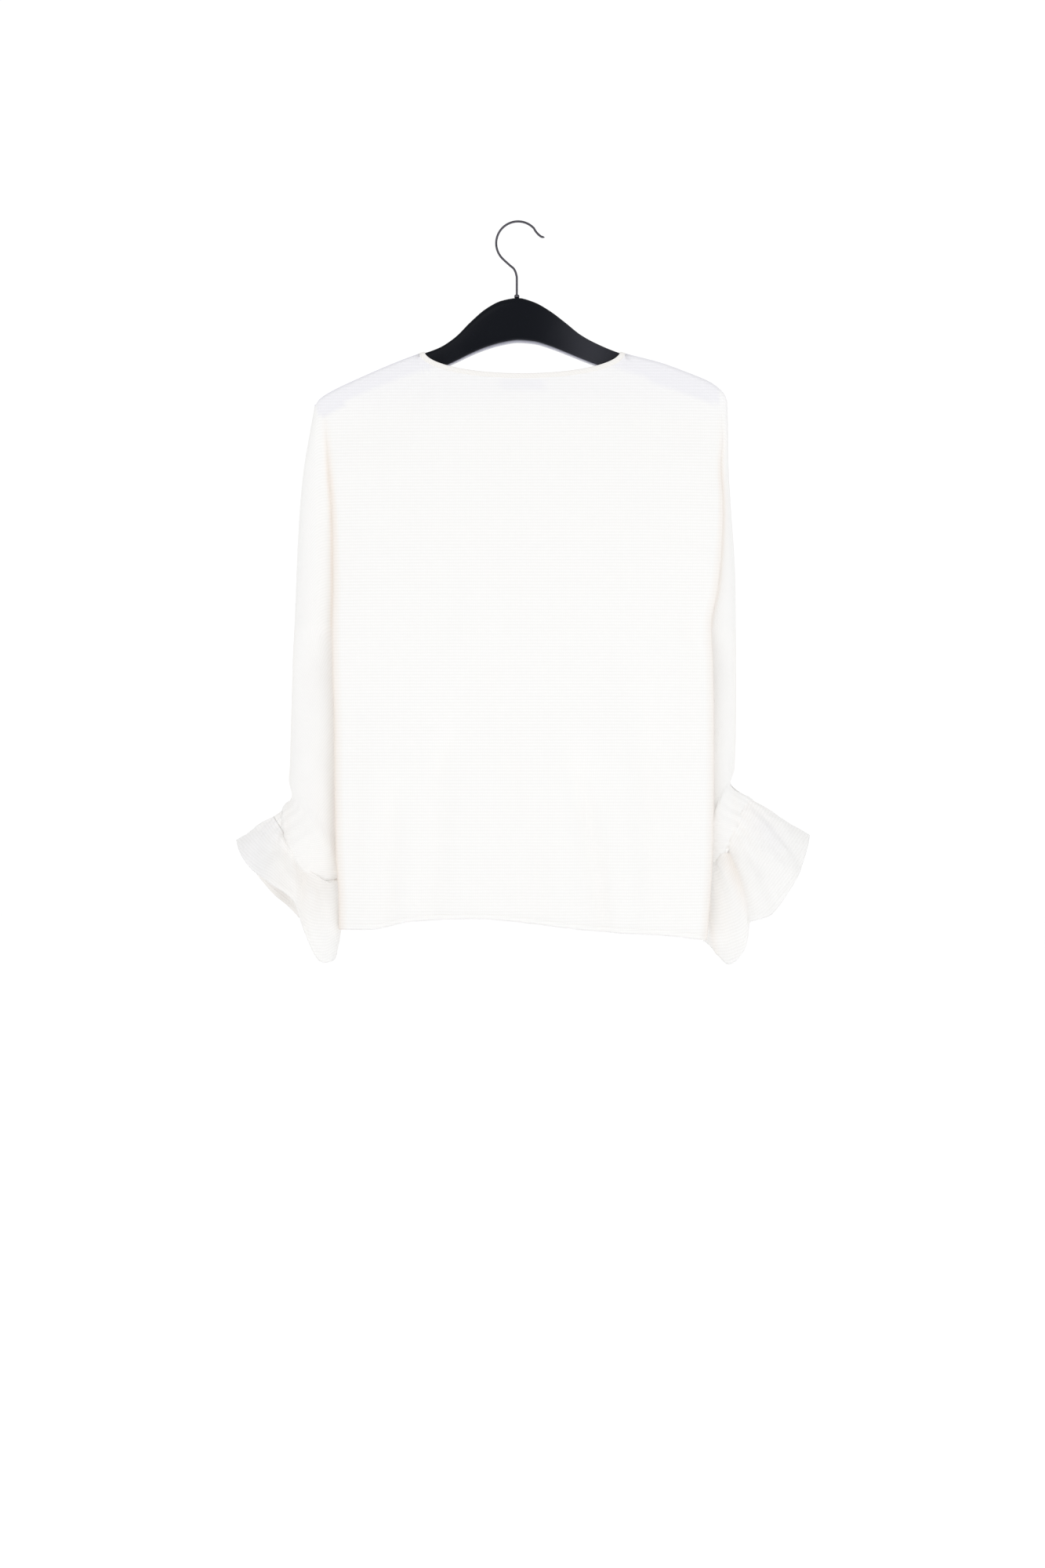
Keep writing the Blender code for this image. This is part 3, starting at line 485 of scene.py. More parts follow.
def relief(folds: Sequence[Fold], x: Array, z: Array, closing: float = 1.2) -> Array:
    """Depth of soft folds at a point, each fading in from its top end.

    Args:
        folds: the folds.
        x: places across.
        z: heights.
        closing: how far past its bottom, as a share of its length, a fold is still followed.

    Returns:
        Depth in millimetres, above zero in a trough.
    """
    total = np.zeros(np.broadcast(x, z).shape)
    for fold in folds:
        along = np.clip((fold.z_top - z) / (fold.z_top - fold.z_bottom), 0, closing)
        centre = fold.x_top + (fold.x_bottom - fold.x_top) * along
        total += fold.depth * bell(x - centre, fold.width) * ease(along * 2.2)
    return total


def crease_relief(folds: Sequence[Fold], x: Array, z: Array) -> Array:
    """Depth of the narrow creases, which fade out at both ends.

    Args:
        folds: the creases.
        x: places across.
        z: heights.

    Returns:
        Depth in millimetres, above zero in a trough.
    """
    total = np.zeros(np.broadcast(x, z).shape)
    for fold in folds:
        along = (fold.z_top - z) / (fold.z_top - fold.z_bottom)
        inside = np.clip(along, 0, 1)
        centre = fold.x_top + (fold.x_bottom - fold.x_top) * inside
        total += fold.depth * bell(x - centre, fold.width) * np.sin(np.pi * inside) ** 0.8
    return total


def soft_noise(a: Array, b: Array, seed: int) -> Array:
    """Smooth noise between about -1 and 1, the same each run.

    Args:
        a: first coordinate, one for each unit of the pattern.
        b: second coordinate.
        seed: picks the pattern.

    Returns:
        The noise at each point.
    """
    table = np.random.default_rng(seed).uniform(-1, 1, (64, 64))
    ia, ib = np.floor(a).astype(int), np.floor(b).astype(int)
    fa, fb = ease(a - ia), ease(b - ib)
    low = table[ia % 64, ib % 64] * (1 - fa) + table[(ia + 1) % 64, ib % 64] * fa
    high = table[ia % 64, (ib + 1) % 64] * (1 - fa) + table[(ia + 1) % 64, (ib + 1) % 64] * fa
    return low * (1 - fb) + high * fb


def body_y(side: Side, x: Array, z: Array) -> Array:
    """Depth of the back or front at a point of the body, with its folds and creases.

    Args:
        side: back or front.
        x: places across.
        z: heights.

    Returns:
        Place along Y.
    """
    left, right = level("left_fold", z), level("right_fold", z)
    drop = over_arm(arm_line(x) - z)
    fine = crease_relief(CREASES[side], x, z) * CREASE_SHARE[side]
    soft = soft_noise(x / RIPPLE_ACROSS, z / RIPPLE_DOWN, Seed.BODY + side.value)
    fine += CLOTH_RIPPLE * soft * ease((RIPPLE_FROM - z) / RIPPLE_OVER)
    if side is Side.BACK:
        middle, half = (left + right) / 2, (right - left) / 2
        rounding = 0.5 + 0.5 * ease((z - UPPER_ROUNDS_FROM) / UPPER_ROUNDS_OVER)
        share = np.clip(1 - np.abs((x - middle) / half) ** SECTION_POWER[side], 0, 1) ** rounding
        edge = depth("edge", z)
        y = edge + (depth("back", z) - edge) * share
        return y * drop + (relief(FOLDS[side], x, z) * FOLD_SHARE[side] + fine) * share
    left, right = left + depth("tuck_left", z), right - depth("tuck_right", z)
    middle, half = (left + right) / 2, (right - left) / 2
    share = np.clip(1 - np.abs((x - middle) / half) ** SECTION_POWER[side], 0, 1)
    edge = depth("front_valley", z)
    y = edge + (depth("front", z) - edge) * share
    return y * drop - (relief(FOLDS[side], x, z) + fine) * share


def front_neck_run() -> Array:
    """Length along the front neckline's own points."""
    return run_along(np.array(FRONT_NECK, float))


def neck_apex() -> int:
    """Row of the front neckline that holds the point of the V."""
    return int(np.argmin([place.z for place in FRONT_NECK]))


def neck_stations(side: Side, quads: int) -> Array:
    """Places along a neckline, from 0 to 1, closer where it climbs over the shoulder.

    Args:
        side: back or front.
        quads: faces along the neckline.

    Returns:
        The places.
    """
    if side is Side.BACK:
        shares = (1 - np.cos(np.linspace(0, np.pi, quads - 1))) / 2
    else:
        half = 1 - np.cos(np.linspace(0, np.pi / 2, quads // 2))
        run = front_neck_run()
        point = run[neck_apex()] / run[-1]
        shares = np.concatenate([half * point, 1 - (half * (1 - point))[-2::-1]])
    first, last = shares[1] / 4, 1 - (1 - shares[-2]) / 4
    return np.concatenate([[0, first], shares[1:-1], [last, 1]])


def neck_curve(side: Side, shares: Array, offset: float) -> Array:
    """Neckline from left to right, moved out from the opening, with mitres.

    Args:
        side: back or front.
        shares: places along it from 0 to 1.
        offset: how far out it is moved.

    Returns:
        Points as x and z.
    """
    nudge = 0.002
    samples = np.stack([shares + step for step in (-nudge, 0, nudge)])
    if side is Side.BACK:
        turn = np.pi * (1 - samples)
        x = NECK_CENTRE_X + NECK_HALF * np.cos(turn)
        z = NECK_Z - NECK_DROP * np.sin(turn)
    else:
        given, run = np.array(FRONT_NECK, float), front_neck_run()
        x, z = (smooth(run, given[:, k], samples * run[-1]) for k in (0, 1))
    outs = []
    for before, after in ((0, 1), (1, 2)):
        way = np.stack([x[after] - x[before], z[after] - z[before]], 1)
        out = np.stack([way[:, 1], -way[:, 0]], 1)
        length = np.linalg.norm(out, axis=1)[:, None]
        outs.append(out / np.where(length > 1e-9, length, 1))
    out = outs[0] + outs[1]
    out = unit(out)
    mitre = np.maximum((out * outs[0]).sum(axis=1), (out * outs[1]).sum(axis=1))
    line = np.stack([x[1], z[1]], 1) + out * offset / np.clip(mitre, 0.5, 1)[:, None]
    for end in (0, -1):
        below = line[end, 1] - line[:, 1]
        below[np.abs(line[:, 0] - line[end, 0]) > NECK_HALF] = np.inf
        line[:, 1] += (arm_line(line[end, 0]) - line[end, 1]) * np.exp(-below / NECK_SETTLES_OVER)
    return line


def cuff_axes(hand: Hand) -> tuple[Array, Array, Array]:
    """Where a casing lies and how it is turned.

    Args:
        hand: which cuff.

    Returns:
        Its centre, its way along the sleeve, and its way across to the outer top.
    """
    cuff = CUFFS[hand]
    angle = np.radians(cuff.angle)
    along_way = np.array([hand.value * np.cos(angle), 0, -np.sin(angle)])
    across_way = np.array([hand.value * np.sin(angle), 0, np.cos(angle)])
    return np.array([cuff.x, cuff.y, cuff.z]), along_way, across_way


def casing_ring(hand: Hand, turns: Array, reach: float, grow: Array) -> Array:
    """Points round a casing.

    Args:
        hand: which cuff.
        turns: places round it, from 0 to 1.
        reach: distance along it from its middle.
        grow: how far outside its plain size.

    Returns:
        The points.
    """
    centre, along_way, across_way = cuff_axes(hand)
    angle = 2 * np.pi * np.asarray(turns)
    grow = np.broadcast_to(grow, angle.shape)
    across = (np.cos(angle) * (CUFFS[hand].half + grow))[:, None] * across_way
    deep = (np.sin(angle) * (BAND_DEPTH + grow))[:, None] * np.array([0, 1, 0])
    return centre + along_way * reach + across - deep


def gather_wave(turns: Array, hand: Hand) -> Array:
    """Height of the gathers round a wrist, 0 between pleats and 1 on a pleat, uneven round it.

    Args:
        turns: places round it, from 0 to 1.
        hand: which wrist.

    Returns:
        Heights.
    """
    drawn = soft_noise(turns * 9, turns * 0 + hand.value, Seed.PLEAT_SHIFT)
    shift = GATHER_LEAN * drawn * np.sin(np.pi * turns) ** 2
    drawn = soft_noise(turns * GATHERS, turns * 0 + 2 * hand.value, Seed.PLEAT_HEIGHT)
    height = GATHER_MEAN + GATHER_VARIES * drawn
    return (0.5 + 0.5 * np.cos(2 * np.pi * (GATHERS * turns + shift))) * height


def droop_share(place: Array) -> Array:
    """Share of a sleeve's droop across it, from its outer seam at 0 to its inner end at 1."""
    return np.sin(np.pi * np.clip(place, 0, 1) ** 1.4).clip(0) ** 0.8


def along_rows(rows: Array, count: int) -> Array:
    """Smooth rows between given ones.

    Args:
        rows: given rows, as rows, columns and coordinates.
        count: rows wanted.

    Returns:
        That many rows, the first and last as given.
    """
    steps = np.linalg.norm(np.diff(rows, axis=0), axis=2).mean(axis=1)
    place = np.concatenate([[0], np.cumsum(steps)])
    at = np.linspace(0, place[-1], count)
    slope = np.gradient(rows, place, axis=0)
    i = np.clip(np.searchsorted(place, at) - 1, 0, len(place) - 2)
    run = (place[i + 1] - place[i])[:, None, None]
    t = ((at - place[i])[:, None, None]) / run
    start, end = rows[i], rows[i + 1]
    a, b = slope[i] * run, slope[i + 1] * run
    return (
        start * (1 + 2 * t) * (1 - t) ** 2
        + a * t * (1 - t) ** 2
        + end * t * t * (3 - 2 * t)
        - b * t * t * (1 - t)
    )


def grid_normals(grid: Array) -> Array:
    """Unit normals of a grid of points, from the way down crossed with the way across.

    Args:
        grid: rows and columns of points.

    Returns:
        One normal for each point.
    """
    down = np.gradient(grid, axis=0)
    across = np.gradient(grid, axis=1)
    normal = np.cross(down, across)
    return normal / np.maximum(np.linalg.norm(normal, axis=2, keepdims=True), 1e-9)


def new_object(name: str, data: bpy.types.ID) -> Thing:
    """Puts an object with this data into the scene."""
    obj = bpy.data.objects.new(name, data)
    bpy.context.scene.collection.objects.link(obj)
    return obj


def settle(obj: Thing) -> None:
    """Turns an object's modifiers into its own plain mesh."""
    graph = bpy.context.evaluated_depsgraph_get()
    mesh = bpy.data.meshes.new_from_object(obj.evaluated_get(graph))
    obj.modifiers.clear()
    obj.data = mesh


@dataclass(frozen=True)
class Tints:
    """Shares of painted shade on the cloth, bluish where things show through and warmer in folds; a
    pair is for the left and the right.
    """

    # Painted shadow of the hanger's arms through the cloth, and a painted dark line of shade along
    # the shoulders' top edge
    arm: float = 0.125
    arm_edge_shade: tuple = (0.5, 0.25)
    # Faint bluish painted shade over the shoulders, and the label's painted shadow through the back
    shoulders: float = 0.045
    label: float = 0.05
    # Warmer painted shade in folds and creases, along the fold lines and outer seams, towards the
    # left cuff, and in the gathers' grooves
    fold: float = 0.006
    crease: float = 0.008
    body_fold: tuple = (0.26, 0.17)
    sleeve_fold: tuple = (0.13, 0.08)
    sleeve_seam: float = 0.03
    near_cuff: float = 0.015
    groove_shade: float = 0.05


TINTS = Tints()


@dataclass
class Draft:
    """Points, faces and the values that finishes read, before they become a mesh."""

    points: list[Array] = field(default_factory=list)
    cut: list[Array] = field(default_factory=list)
    # Painted light and shade: bluish shade where things show through the cloth, a painted
    # reflection and sheen on the hanger
    painted_light: list[Array] = field(default_factory=list)
    # Warmer painted shade in folds, creases, hollows and grooves
    warm_shade: list[Array] = field(default_factory=list)
    hem: list[Array] = field(default_factory=list)
    faces: list[tuple[int, ...]] = field(default_factory=list)

    def count(self) -> int:
        """Points so far."""
        return sum(len(block) for block in self.points)

    def add_grid(self, grid: Array, cut: Array, painted_light: Array, warm_shade: Array, hem: Array) -> Array:
        """Adds a grid of points with the values that finishes read.

        Args:
            grid: rows and columns of points.
            cut: place of each in the cut cloth.
            painted_light: share of painted light and shade that it takes.
            warm_shade: share of warmer painted shade that it takes.
            hem: where the cloth is double.

        Returns:
            Indices of the points, in the grid's shape.
        """
        start = self.count()
        self.points.append(grid.reshape(-1, 3))
        self.cut.append(cut.reshape(-1, 2))
        for store, values in ((self.painted_light, painted_light), (self.warm_shade, warm_shade), (self.hem, hem)):
            store.append(np.broadcast_to(values, grid.shape[:-1]).reshape(-1))
        return np.arange(start, start + grid.shape[0] * grid.shape[1]).reshape(grid.shape[:-1])

    def join(self, index: Array, turned: bool, closed: bool = False) -> None:
        """Faces between the rows of an index grid.

        Args:
            index: indices of the grid's points.
            turned: the other way round.
            closed: also joins the last column to the first.
        """
        if closed:
            index = np.concatenate([index, index[:, :1]], axis=1)
        a, b = index[:-1, :-1].ravel(), index[1:, :-1].ravel()
        c, d = index[1:, 1:].ravel(), index[:-1, 1:].ravel()
        quads = np.stack([a, d, c, b] if turned else [a, b, c, d], axis=1)
        self.faces.extend(map(tuple, quads.tolist()))

    def tube(
        self,
        name: str,
        grid: Array,
        material: Material,
        painted_light: Union[float, Array] = 0.0,
        turned: bool = True,
    ) -> Thing:
        """Makes an object of closed rings of points with both ends capped.

        Args:
            name: the object's name.
            grid: its rings.
            material: its finish.
            painted_light: share of painted light and shade that the finish reads.
            turned: the other way round.

        Returns:
            The object.
        """
        index = self.add_grid(grid, grid[..., [0, 2]], painted_light, 0.0, 0.0)
        self.join(index, turned=turned, closed=True)
        self.faces += [tuple(index[0].tolist()), tuple(index[-1][::-1].tolist())]
        return self.mesh_object(name, material)

    def mesh_object(self, name: str, material: Material) -> Thing:
        """Makes a smooth mesh object of all that was added, with its cut map and values.

        Args:
            name: the object's name.
            material: its finish.

        Returns:
            The object.
        """
        points = np.concatenate(self.points)
        mesh = bpy.data.meshes.new(name)
        mesh.from_pydata((points * MM).tolist(), [], self.faces)
        obj = new_object(name, mesh)
        mesh.materials.append(material)
        mesh.shade_smooth()
        corners = np.empty(len(mesh.loops), np.int32)
        mesh.loops.foreach_get("vertex_index", corners)
        layer = mesh.uv_layers.new(name="Cut")
        cut = (np.concatenate(self.cut) * MM)[corners].astype(np.float32)
        layer.data.foreach_set("uv", cut.ravel())
        for word, store in (("painted_light", self.painted_light), ("warm_shade", self.warm_shade), ("hem", self.hem)):
            values = mesh.attributes.new(word, "FLOAT", "POINT")
            values.data.foreach_set("value", np.concatenate(store).astype(np.float32))
        return obj


def give_wall(obj: Thing, thickness: float) -> None:
    """Gives an open sheet its wall, half of it on each side, and applies it.

    Args:
        obj: the sheet.
        thickness: the wall in millimetres.
    """
    wall = obj.modifiers.new("Wall", "SOLIDIFY")
    wall.thickness = thickness * MM
    wall.offset = 0
    settle(obj)


class Value:
    """A shader socket on which Python's operators add Math nodes."""

    def __init__(self, shader: "Shader", socket: bpy.types.NodeSocket) -> None:
        """Wraps a socket of a shader's tree."""
        self.shader = shader
        self.socket = socket

    def math(self, operation: str, *others: Number, first: Optional[Number] = None) -> "Value":
        """Adds a Math node.

        Args:
            operation: the node's operation.
            others: its later operands.
            first: its first operand, this value if left out.

        Returns:
            The result.
        """
        operands = [self if first is None else first, *others]
        inputs = {k: operand for k, operand in enumerate(operands)}
        return self.shader.node("ShaderNodeMath", {"operation": operation}, inputs)

    def __add__(self, other: Number) -> "Value":
        """Sum."""
        return self.math("ADD", other)

    __radd__ = __add__

    def __mul__(self, other: Number) -> "Value":
        """Product."""
        return self.math("MULTIPLY", other)

    __rmul__ = __mul__

    def __sub__(self, other: Number) -> "Value":
        """Difference."""
        return self.math("SUBTRACT", other)

    def __rsub__(self, other: Number) -> "Value":
        """Difference from a number on the left."""
        return self.math("SUBTRACT", self, first=other)

    def wave(self) -> "Value":
        """Sine of the value."""
        return self.math("SINE")

    def size(self) -> "Value":
        """The value without its sign."""
        return self.math("ABSOLUTE")

    def held(self) -> "Value":
        """The value held between 0 and 1."""
        return self.shader.node("ShaderNodeClamp", {}, {0: self})


class Shader:
    """A material's node tree, with one method that adds any node."""

    def __init__(self, name: str) -> None:
        """Starts an empty material.

        Args:
            name: the material's name.
        """
        self.material = bpy.data.materials.new(name)
        self.material.use_nodes = True
        self.tree = self.material.node_tree
        self.tree.nodes.clear()

    def node(self, kind: str, settings: dict, inputs: dict, output: Union[int, str] = 0) -> Value:
        """Adds a node.

        Args:
            kind: the node's type.
            settings: attributes that are set first.
            inputs: socket name or number to a value, a wrapped socket or a constant.
            output: which output is given back.

        Returns:
            The wrapped output, or the node's first one.
        """
        made = self.tree.nodes.new(kind)
        for key, setting in settings.items():
            setattr(made, key, setting)
        for key, given in inputs.items():
            if isinstance(given, Value):
                self.tree.links.new(given.socket, made.inputs[key])
            else:
                made.inputs[key].default_value = given
        return Value(self, made.outputs[output]) if made.outputs else Value(self, made.inputs[0])

    def attribute(self, word: str) -> Value:
        """A named value of the mesh."""
        return self.node("ShaderNodeAttribute", {"attribute_name": word}, {}, "Fac")

    def mix(self, factor: Number, a: Union[Value, tuple], b: Union[Value, tuple]) -> Value:
        """Mixes two colours, each linked or given as three parts.

        Args:
            factor: share of the second colour.
            a: first colour.
            b: second colour.

        Returns:
            The mixed colour.
        """
        a, b = (given if isinstance(given, Value) else (*given, 1.0) for given in (a, b))
        settings = {"data_type": "RGBA", "clamp_factor": True}
        return self.node("ShaderNodeMix", settings, {0: factor, 6: a, 7: b}, 2)

    def noise(self, place: Value, scale: float, detail: float = 2.0) -> Value:
        """Noise of a scale and detail over a place."""
        inputs = {"Vector": place, "Scale": scale, "Detail": detail}
        return self.node("ShaderNodeTexNoise", {}, inputs)

    def bump(self, strength: float, distance: float, height: Value) -> Value:
        """Normal of a surface raised by a height."""
        inputs = {"Strength": strength, "Distance": distance, "Height": height}
        return self.node("ShaderNodeBump", {}, inputs)

    def finish(self, inputs: dict) -> Material:
        """Ends the tree in a principled surface.

        Args:
            inputs: the surface's sockets and what goes into each.

        Returns:
            The material.
        """
        surface = self.node("ShaderNodeBsdfPrincipled", {}, inputs)
        self.node("ShaderNodeOutputMaterial", {}, {"Surface": surface})
        return self.material


@dataclass(frozen=True)
class CrepeFinish:
    """Ivory crepe: ribs over columns of thread, painted shade in their hollows, warmer painted
    shade in folds, and bluish painted shade where things show through.
    """

    name: str = "crepe_ivory"
    ivory: tuple = (0.957, 0.955, 0.947)
    # Colour of the painted shade in the weave's hollows
    hollow_shade: tuple = (0.78, 0.77, 0.75)
    tinge: tuple = (0.94, 0.93, 0.915)
    # Colours of the warmer painted shade in folds, and of the bluish painted shade where the hanger
    # and label show through
    warm_shade: tuple = (0.86, 0.60, 0.38)
    shade: tuple = (0.38, 0.37, 0.68)
    lustre: float = 0.12
    weave_depth: float = 0.00022
    rib: float = 3.4
    column: float = 2.4
    wander: float = 0.0006
    rib_share: float = 0.55
    column_share: float = 0.35
    thread_share: float = 0.22
    hem_rise: float = 2.2
    # Share of painted shade in the weave's hollows
    weave_shade_share: float = 0.30
    tinge_share: float = 0.10

    def wave(self, place: Value, drift: Value, width: float) -> Value:
        """Rounded ridges of a width in millimetres over a wandering place."""
        return ((place + drift * self.wander) * (np.pi / (width * MM))).wave().size()

    def make(self) -> Material:
        """Builds the material.

        Returns:
            The material.
        """
        shader = Shader(self.name)
        cut = shader.node("ShaderNodeUVMap", {"uv_map": "Cut"}, {})
        across, up = (shader.node("ShaderNodeSeparateXYZ", {}, {0: cut}, way) for way in "XY")
        drift, threads = shader.noise(cut, 90.0), shader.noise(cut, 900.0, 3.0)
        ribs, columns = self.wave(up, drift, self.rib), self.wave(across, drift, self.column)
        height = ribs * self.rib_share + columns * ribs * self.column_share
        height = height + threads * self.thread_share
        raised = height + shader.attribute("hem") * self.hem_rise
        # Painted shade: the weave darker where its height is low
        base = shader.mix((1 - height).held() * self.weave_shade_share, self.ivory, self.hollow_shade)
        base = shader.mix(shader.noise(cut, 14.0, 3.0) * self.tinge_share, base, self.tinge)
        # Warmer painted shade in folds, creases, hollows and grooves
        base = shader.mix(shader.attribute("warm_shade"), base, self.warm_shade)
        # Bluish painted shade where the hanger's arms, the label and the shoulders' edges show
        # through
        base = shader.mix(shader.attribute("painted_light"), base, self.shade)
        inputs = {
            "Base Color": base,
            "Roughness": 0.82,
            "Sheen Weight": self.lustre,
            "Sheen Roughness": 0.45,
            "Specular IOR Level": 0.25,
            "Normal": shader.bump(0.55, self.weave_depth, raised),
        }
        return shader.finish(inputs)


@dataclass(frozen=True)
class ThreadFinish:
    """Plain thread or smooth tape: one colour with a fine twist."""

    name: str
    tint: tuple
    twist: float = 1400.0
    lighter: float = 1.06
    roughness: float = 0.7

    def make(self) -> Material:
        """Builds the material.

        Returns:
            The material.
        """
        shader = Shader(self.name)
        fibres = shader.noise(shader.node("ShaderNodeTexCoord", {}, {}, "Object"), self.twist)
        light = tuple(min(1.0, part * self.lighter) for part in self.tint)
        inputs = {
            "Base Color": shader.mix(fibres, self.tint, light),
            "Roughness": self.roughness,
            "Sheen Weight": 0.2,
            "Normal": shader.bump(0.35, 0.0001, fibres),
        }
        return shader.finish(inputs)


@dataclass(frozen=True)
class GlossFinish:
    """Black moulded plastic: glossy, with a faint orange-peel skin, handling marks, and a lighter
    painted reflection and sheen where the mesh's value calls for it.
    """

    name: str = "black_plastic"
    tint: tuple = (0.004, 0.005, 0.008)
    worn: tuple = (0.02, 0.022, 0.028)
    # Colour of the painted reflection and sheen
    shine: tuple = (0.42, 0.42, 0.50)
    roughness: float = 0.16
    dust_from: float = 0.52
    dust_share: float = 0.5

    def make(self) -> Material:
        """Builds the material.

        Returns:
            The material.
        """
        shader = Shader(self.name)
        place = shader.node("ShaderNodeTexCoord", {}, {}, "Object")
        peel, marks = shader.noise(place, 160.0), shader.noise(place, 22.0, 6.0)
        dust = (marks - self.dust_from).held() * self.dust_share
        # Painted reflection and sheen: a lighter colour with a coat, by the mesh's value
        painted_light = shader.attribute("painted_light")
        inputs = {
            "Base Color": shader.mix(painted_light, shader.mix(dust, self.tint, self.worn), self.shine),
            "Roughness": self.roughness + dust,
            "Coat Weight": painted_light,
            "Specular IOR Level": 0.09,
            "Normal": shader.bump(0.12, 0.0003, peel),
        }
        return shader.finish(inputs)


@dataclass(frozen=True)
class ChromeFinish:
    """Plated wire with faint drawing lines."""

    name: str = "chrome_wire"
    tint: tuple = (0.13, 0.125, 0.145)
    lines: tuple = (0.05, 0.05, 0.06)
    roughness: float = 0.10

    def make(self) -> Material:
        """Builds the material.

        Returns:
            The material.
        """
        shader = Shader(self.name)
        lines = shader.noise(shader.node("ShaderNodeTexCoord", {}, {}, "Object"), 420.0, 3.0)
        inputs = {
            "Base Color": shader.mix(lines, self.tint, self.lines),
            "Metallic": 1.0,
            "Roughness": self.roughness + lines * self.roughness,
        }
        return shader.finish(inputs)


@dataclass(frozen=True)
class GroundFinish:
    """Plain pale studio ground."""

    name: str = "studio_ground"
    tint: tuple = (0.96, 0.96, 0.96)
    glow: float = 0.2

    def make(self) -> Material:
        """Builds the material.

        Returns:
            The material.
        """
        inputs = {
            "Base Color": (*self.tint, 1.0),
            "Roughness": 0.9,
            "Emission Color": (1.0, 1.0, 1.0, 1.0),
            "Emission Strength": self.glow,
        }
        return Shader(self.name).finish(inputs)


@dataclass
class Finishes:
    """Every finish of the object, made once."""

    crepe: Material
    binding: Material
    label: Material
    thread: Material
    plastic: Material
    chrome: Material

    @classmethod
    def make_all(cls) -> "Finishes":
        """Builds the materials.

        Returns:
            All the finishes.
        """
        binding = CrepeFinish(
            name="bias_binding",
            ivory=(0.94, 0.93, 0.905),
            rib=2.4,
            column=2.0,
            weave_depth=0.00018,
        )
        return cls(
            crepe=CrepeFinish().make(),
            binding=binding.make(),
            label=ThreadFinish("plain_label", (0.74, 0.74, 0.76)).make(),
            thread=ThreadFinish("sewing_thread", (0.84, 0.825, 0.79), roughness=0.55).make(),
            plastic=GlossFinish().make(),
            chrome=ChromeFinish().make(),
        )


@dataclass
class StitchRow:
    """Row of stitches along a path, made by Geometry Nodes."""

    name: str
    pitch: float = 2.6
    length: float = 1.7
    thickness: float = 0.34

    def tree(self) -> bpy.types.GeometryNodeTree:
        """Builds the node tree: points along the path, a stitch on each, made real.

        Returns:
            The node tree.
        """
        tree = bpy.data.node_groups.new("Stitch row", "GeometryNodeTree")
        face = tree.interface
        face.new_socket("Path", in_out="INPUT", socket_type="NodeSocketGeometry")
        for word in ("Pitch", "Length", "Thickness"):
            face.new_socket(word, in_out="INPUT", socket_type="NodeSocketFloat")
        face.new_socket("Thread", in_out="INPUT", socket_type="NodeSocketMaterial")
        face.new_socket("Stitches", in_out="OUTPUT", socket_type="NodeSocketGeometry")
        make = tree.nodes.new
        given, ended = make("NodeGroupInput"), make("NodeGroupOutput")
        curve, points = make("GeometryNodeMeshToCurve"), make("GeometryNodeCurveToPoints")
        points.mode = "LENGTH"
        shape, scale = make("GeometryNodeMeshUVSphere"), make("ShaderNodeCombineXYZ")
        shape.inputs["Segments"].default_value = 6
        shape.inputs["Rings"].default_value = 4
        shape.inputs["Radius"].default_value = 0.5
        placed, real = make("GeometryNodeInstanceOnPoints"), make("GeometryNodeRealizeInstances")
        dressed = make("GeometryNodeSetMaterial")
        links = (
            (given.outputs["Path"], curve.inputs["Mesh"]),
            (curve.outputs["Curve"], points.inputs["Curve"]),
            (given.outputs["Pitch"], points.inputs["Length"]),
            (points.outputs["Points"], placed.inputs["Points"]),
            (points.outputs["Rotation"], placed.inputs["Rotation"]),
            (shape.outputs["Mesh"], placed.inputs["Instance"]),
            (given.outputs["Thickness"], scale.inputs["X"]),
            (given.outputs["Thickness"], scale.inputs["Y"]),
            (given.outputs["Length"], scale.inputs["Z"]),
            (scale.outputs["Vector"], placed.inputs["Scale"]),
            (placed.outputs["Instances"], real.inputs["Geometry"]),
            (real.outputs["Geometry"], dressed.inputs["Geometry"]),
            (given.outputs["Thread"], dressed.inputs["Material"]),
            (dressed.outputs["Geometry"], ended.inputs["Stitches"]),
        )
        for out_socket, in_socket in links:
            tree.links.new(out_socket, in_socket)
        return tree

    def make(self, paths: Sequence[Array], thread: Material) -> Thing:
        """Sews along open paths.

        Args:
            paths: points of each path, in millimetres.
            thread: the stitches' material.

        Returns:
            One mesh object with every stitch.
        """
        mesh = bpy.data.meshes.new(self.name)
        starts = np.cumsum([0, *[len(path) for path in paths]])
        edges = [
            (start + k, start + k + 1)
            for start, path in zip(starts, paths)
            for k in range(len(path) - 1)
        ]
        mesh.from_pydata((np.concatenate(paths) * MM).tolist(), edges, [])
        obj = new_object(self.name, mesh)
        sewn = obj.modifiers.new("Stitches", "NODES")
        sewn.node_group = self.tree()
        sizes = {"Pitch": self.pitch, "Length": self.length, "Thickness": self.thickness}
        for item in sewn.node_group.interface.items_tree:
            if item.in_out == "INPUT" and item.name in sizes:
                sewn[item.identifier] = sizes[item.name] * MM
            elif item.name == "Thread":
                sewn[item.identifier] = thread
        settle(obj)
        obj.data.shade_smooth()
        return obj


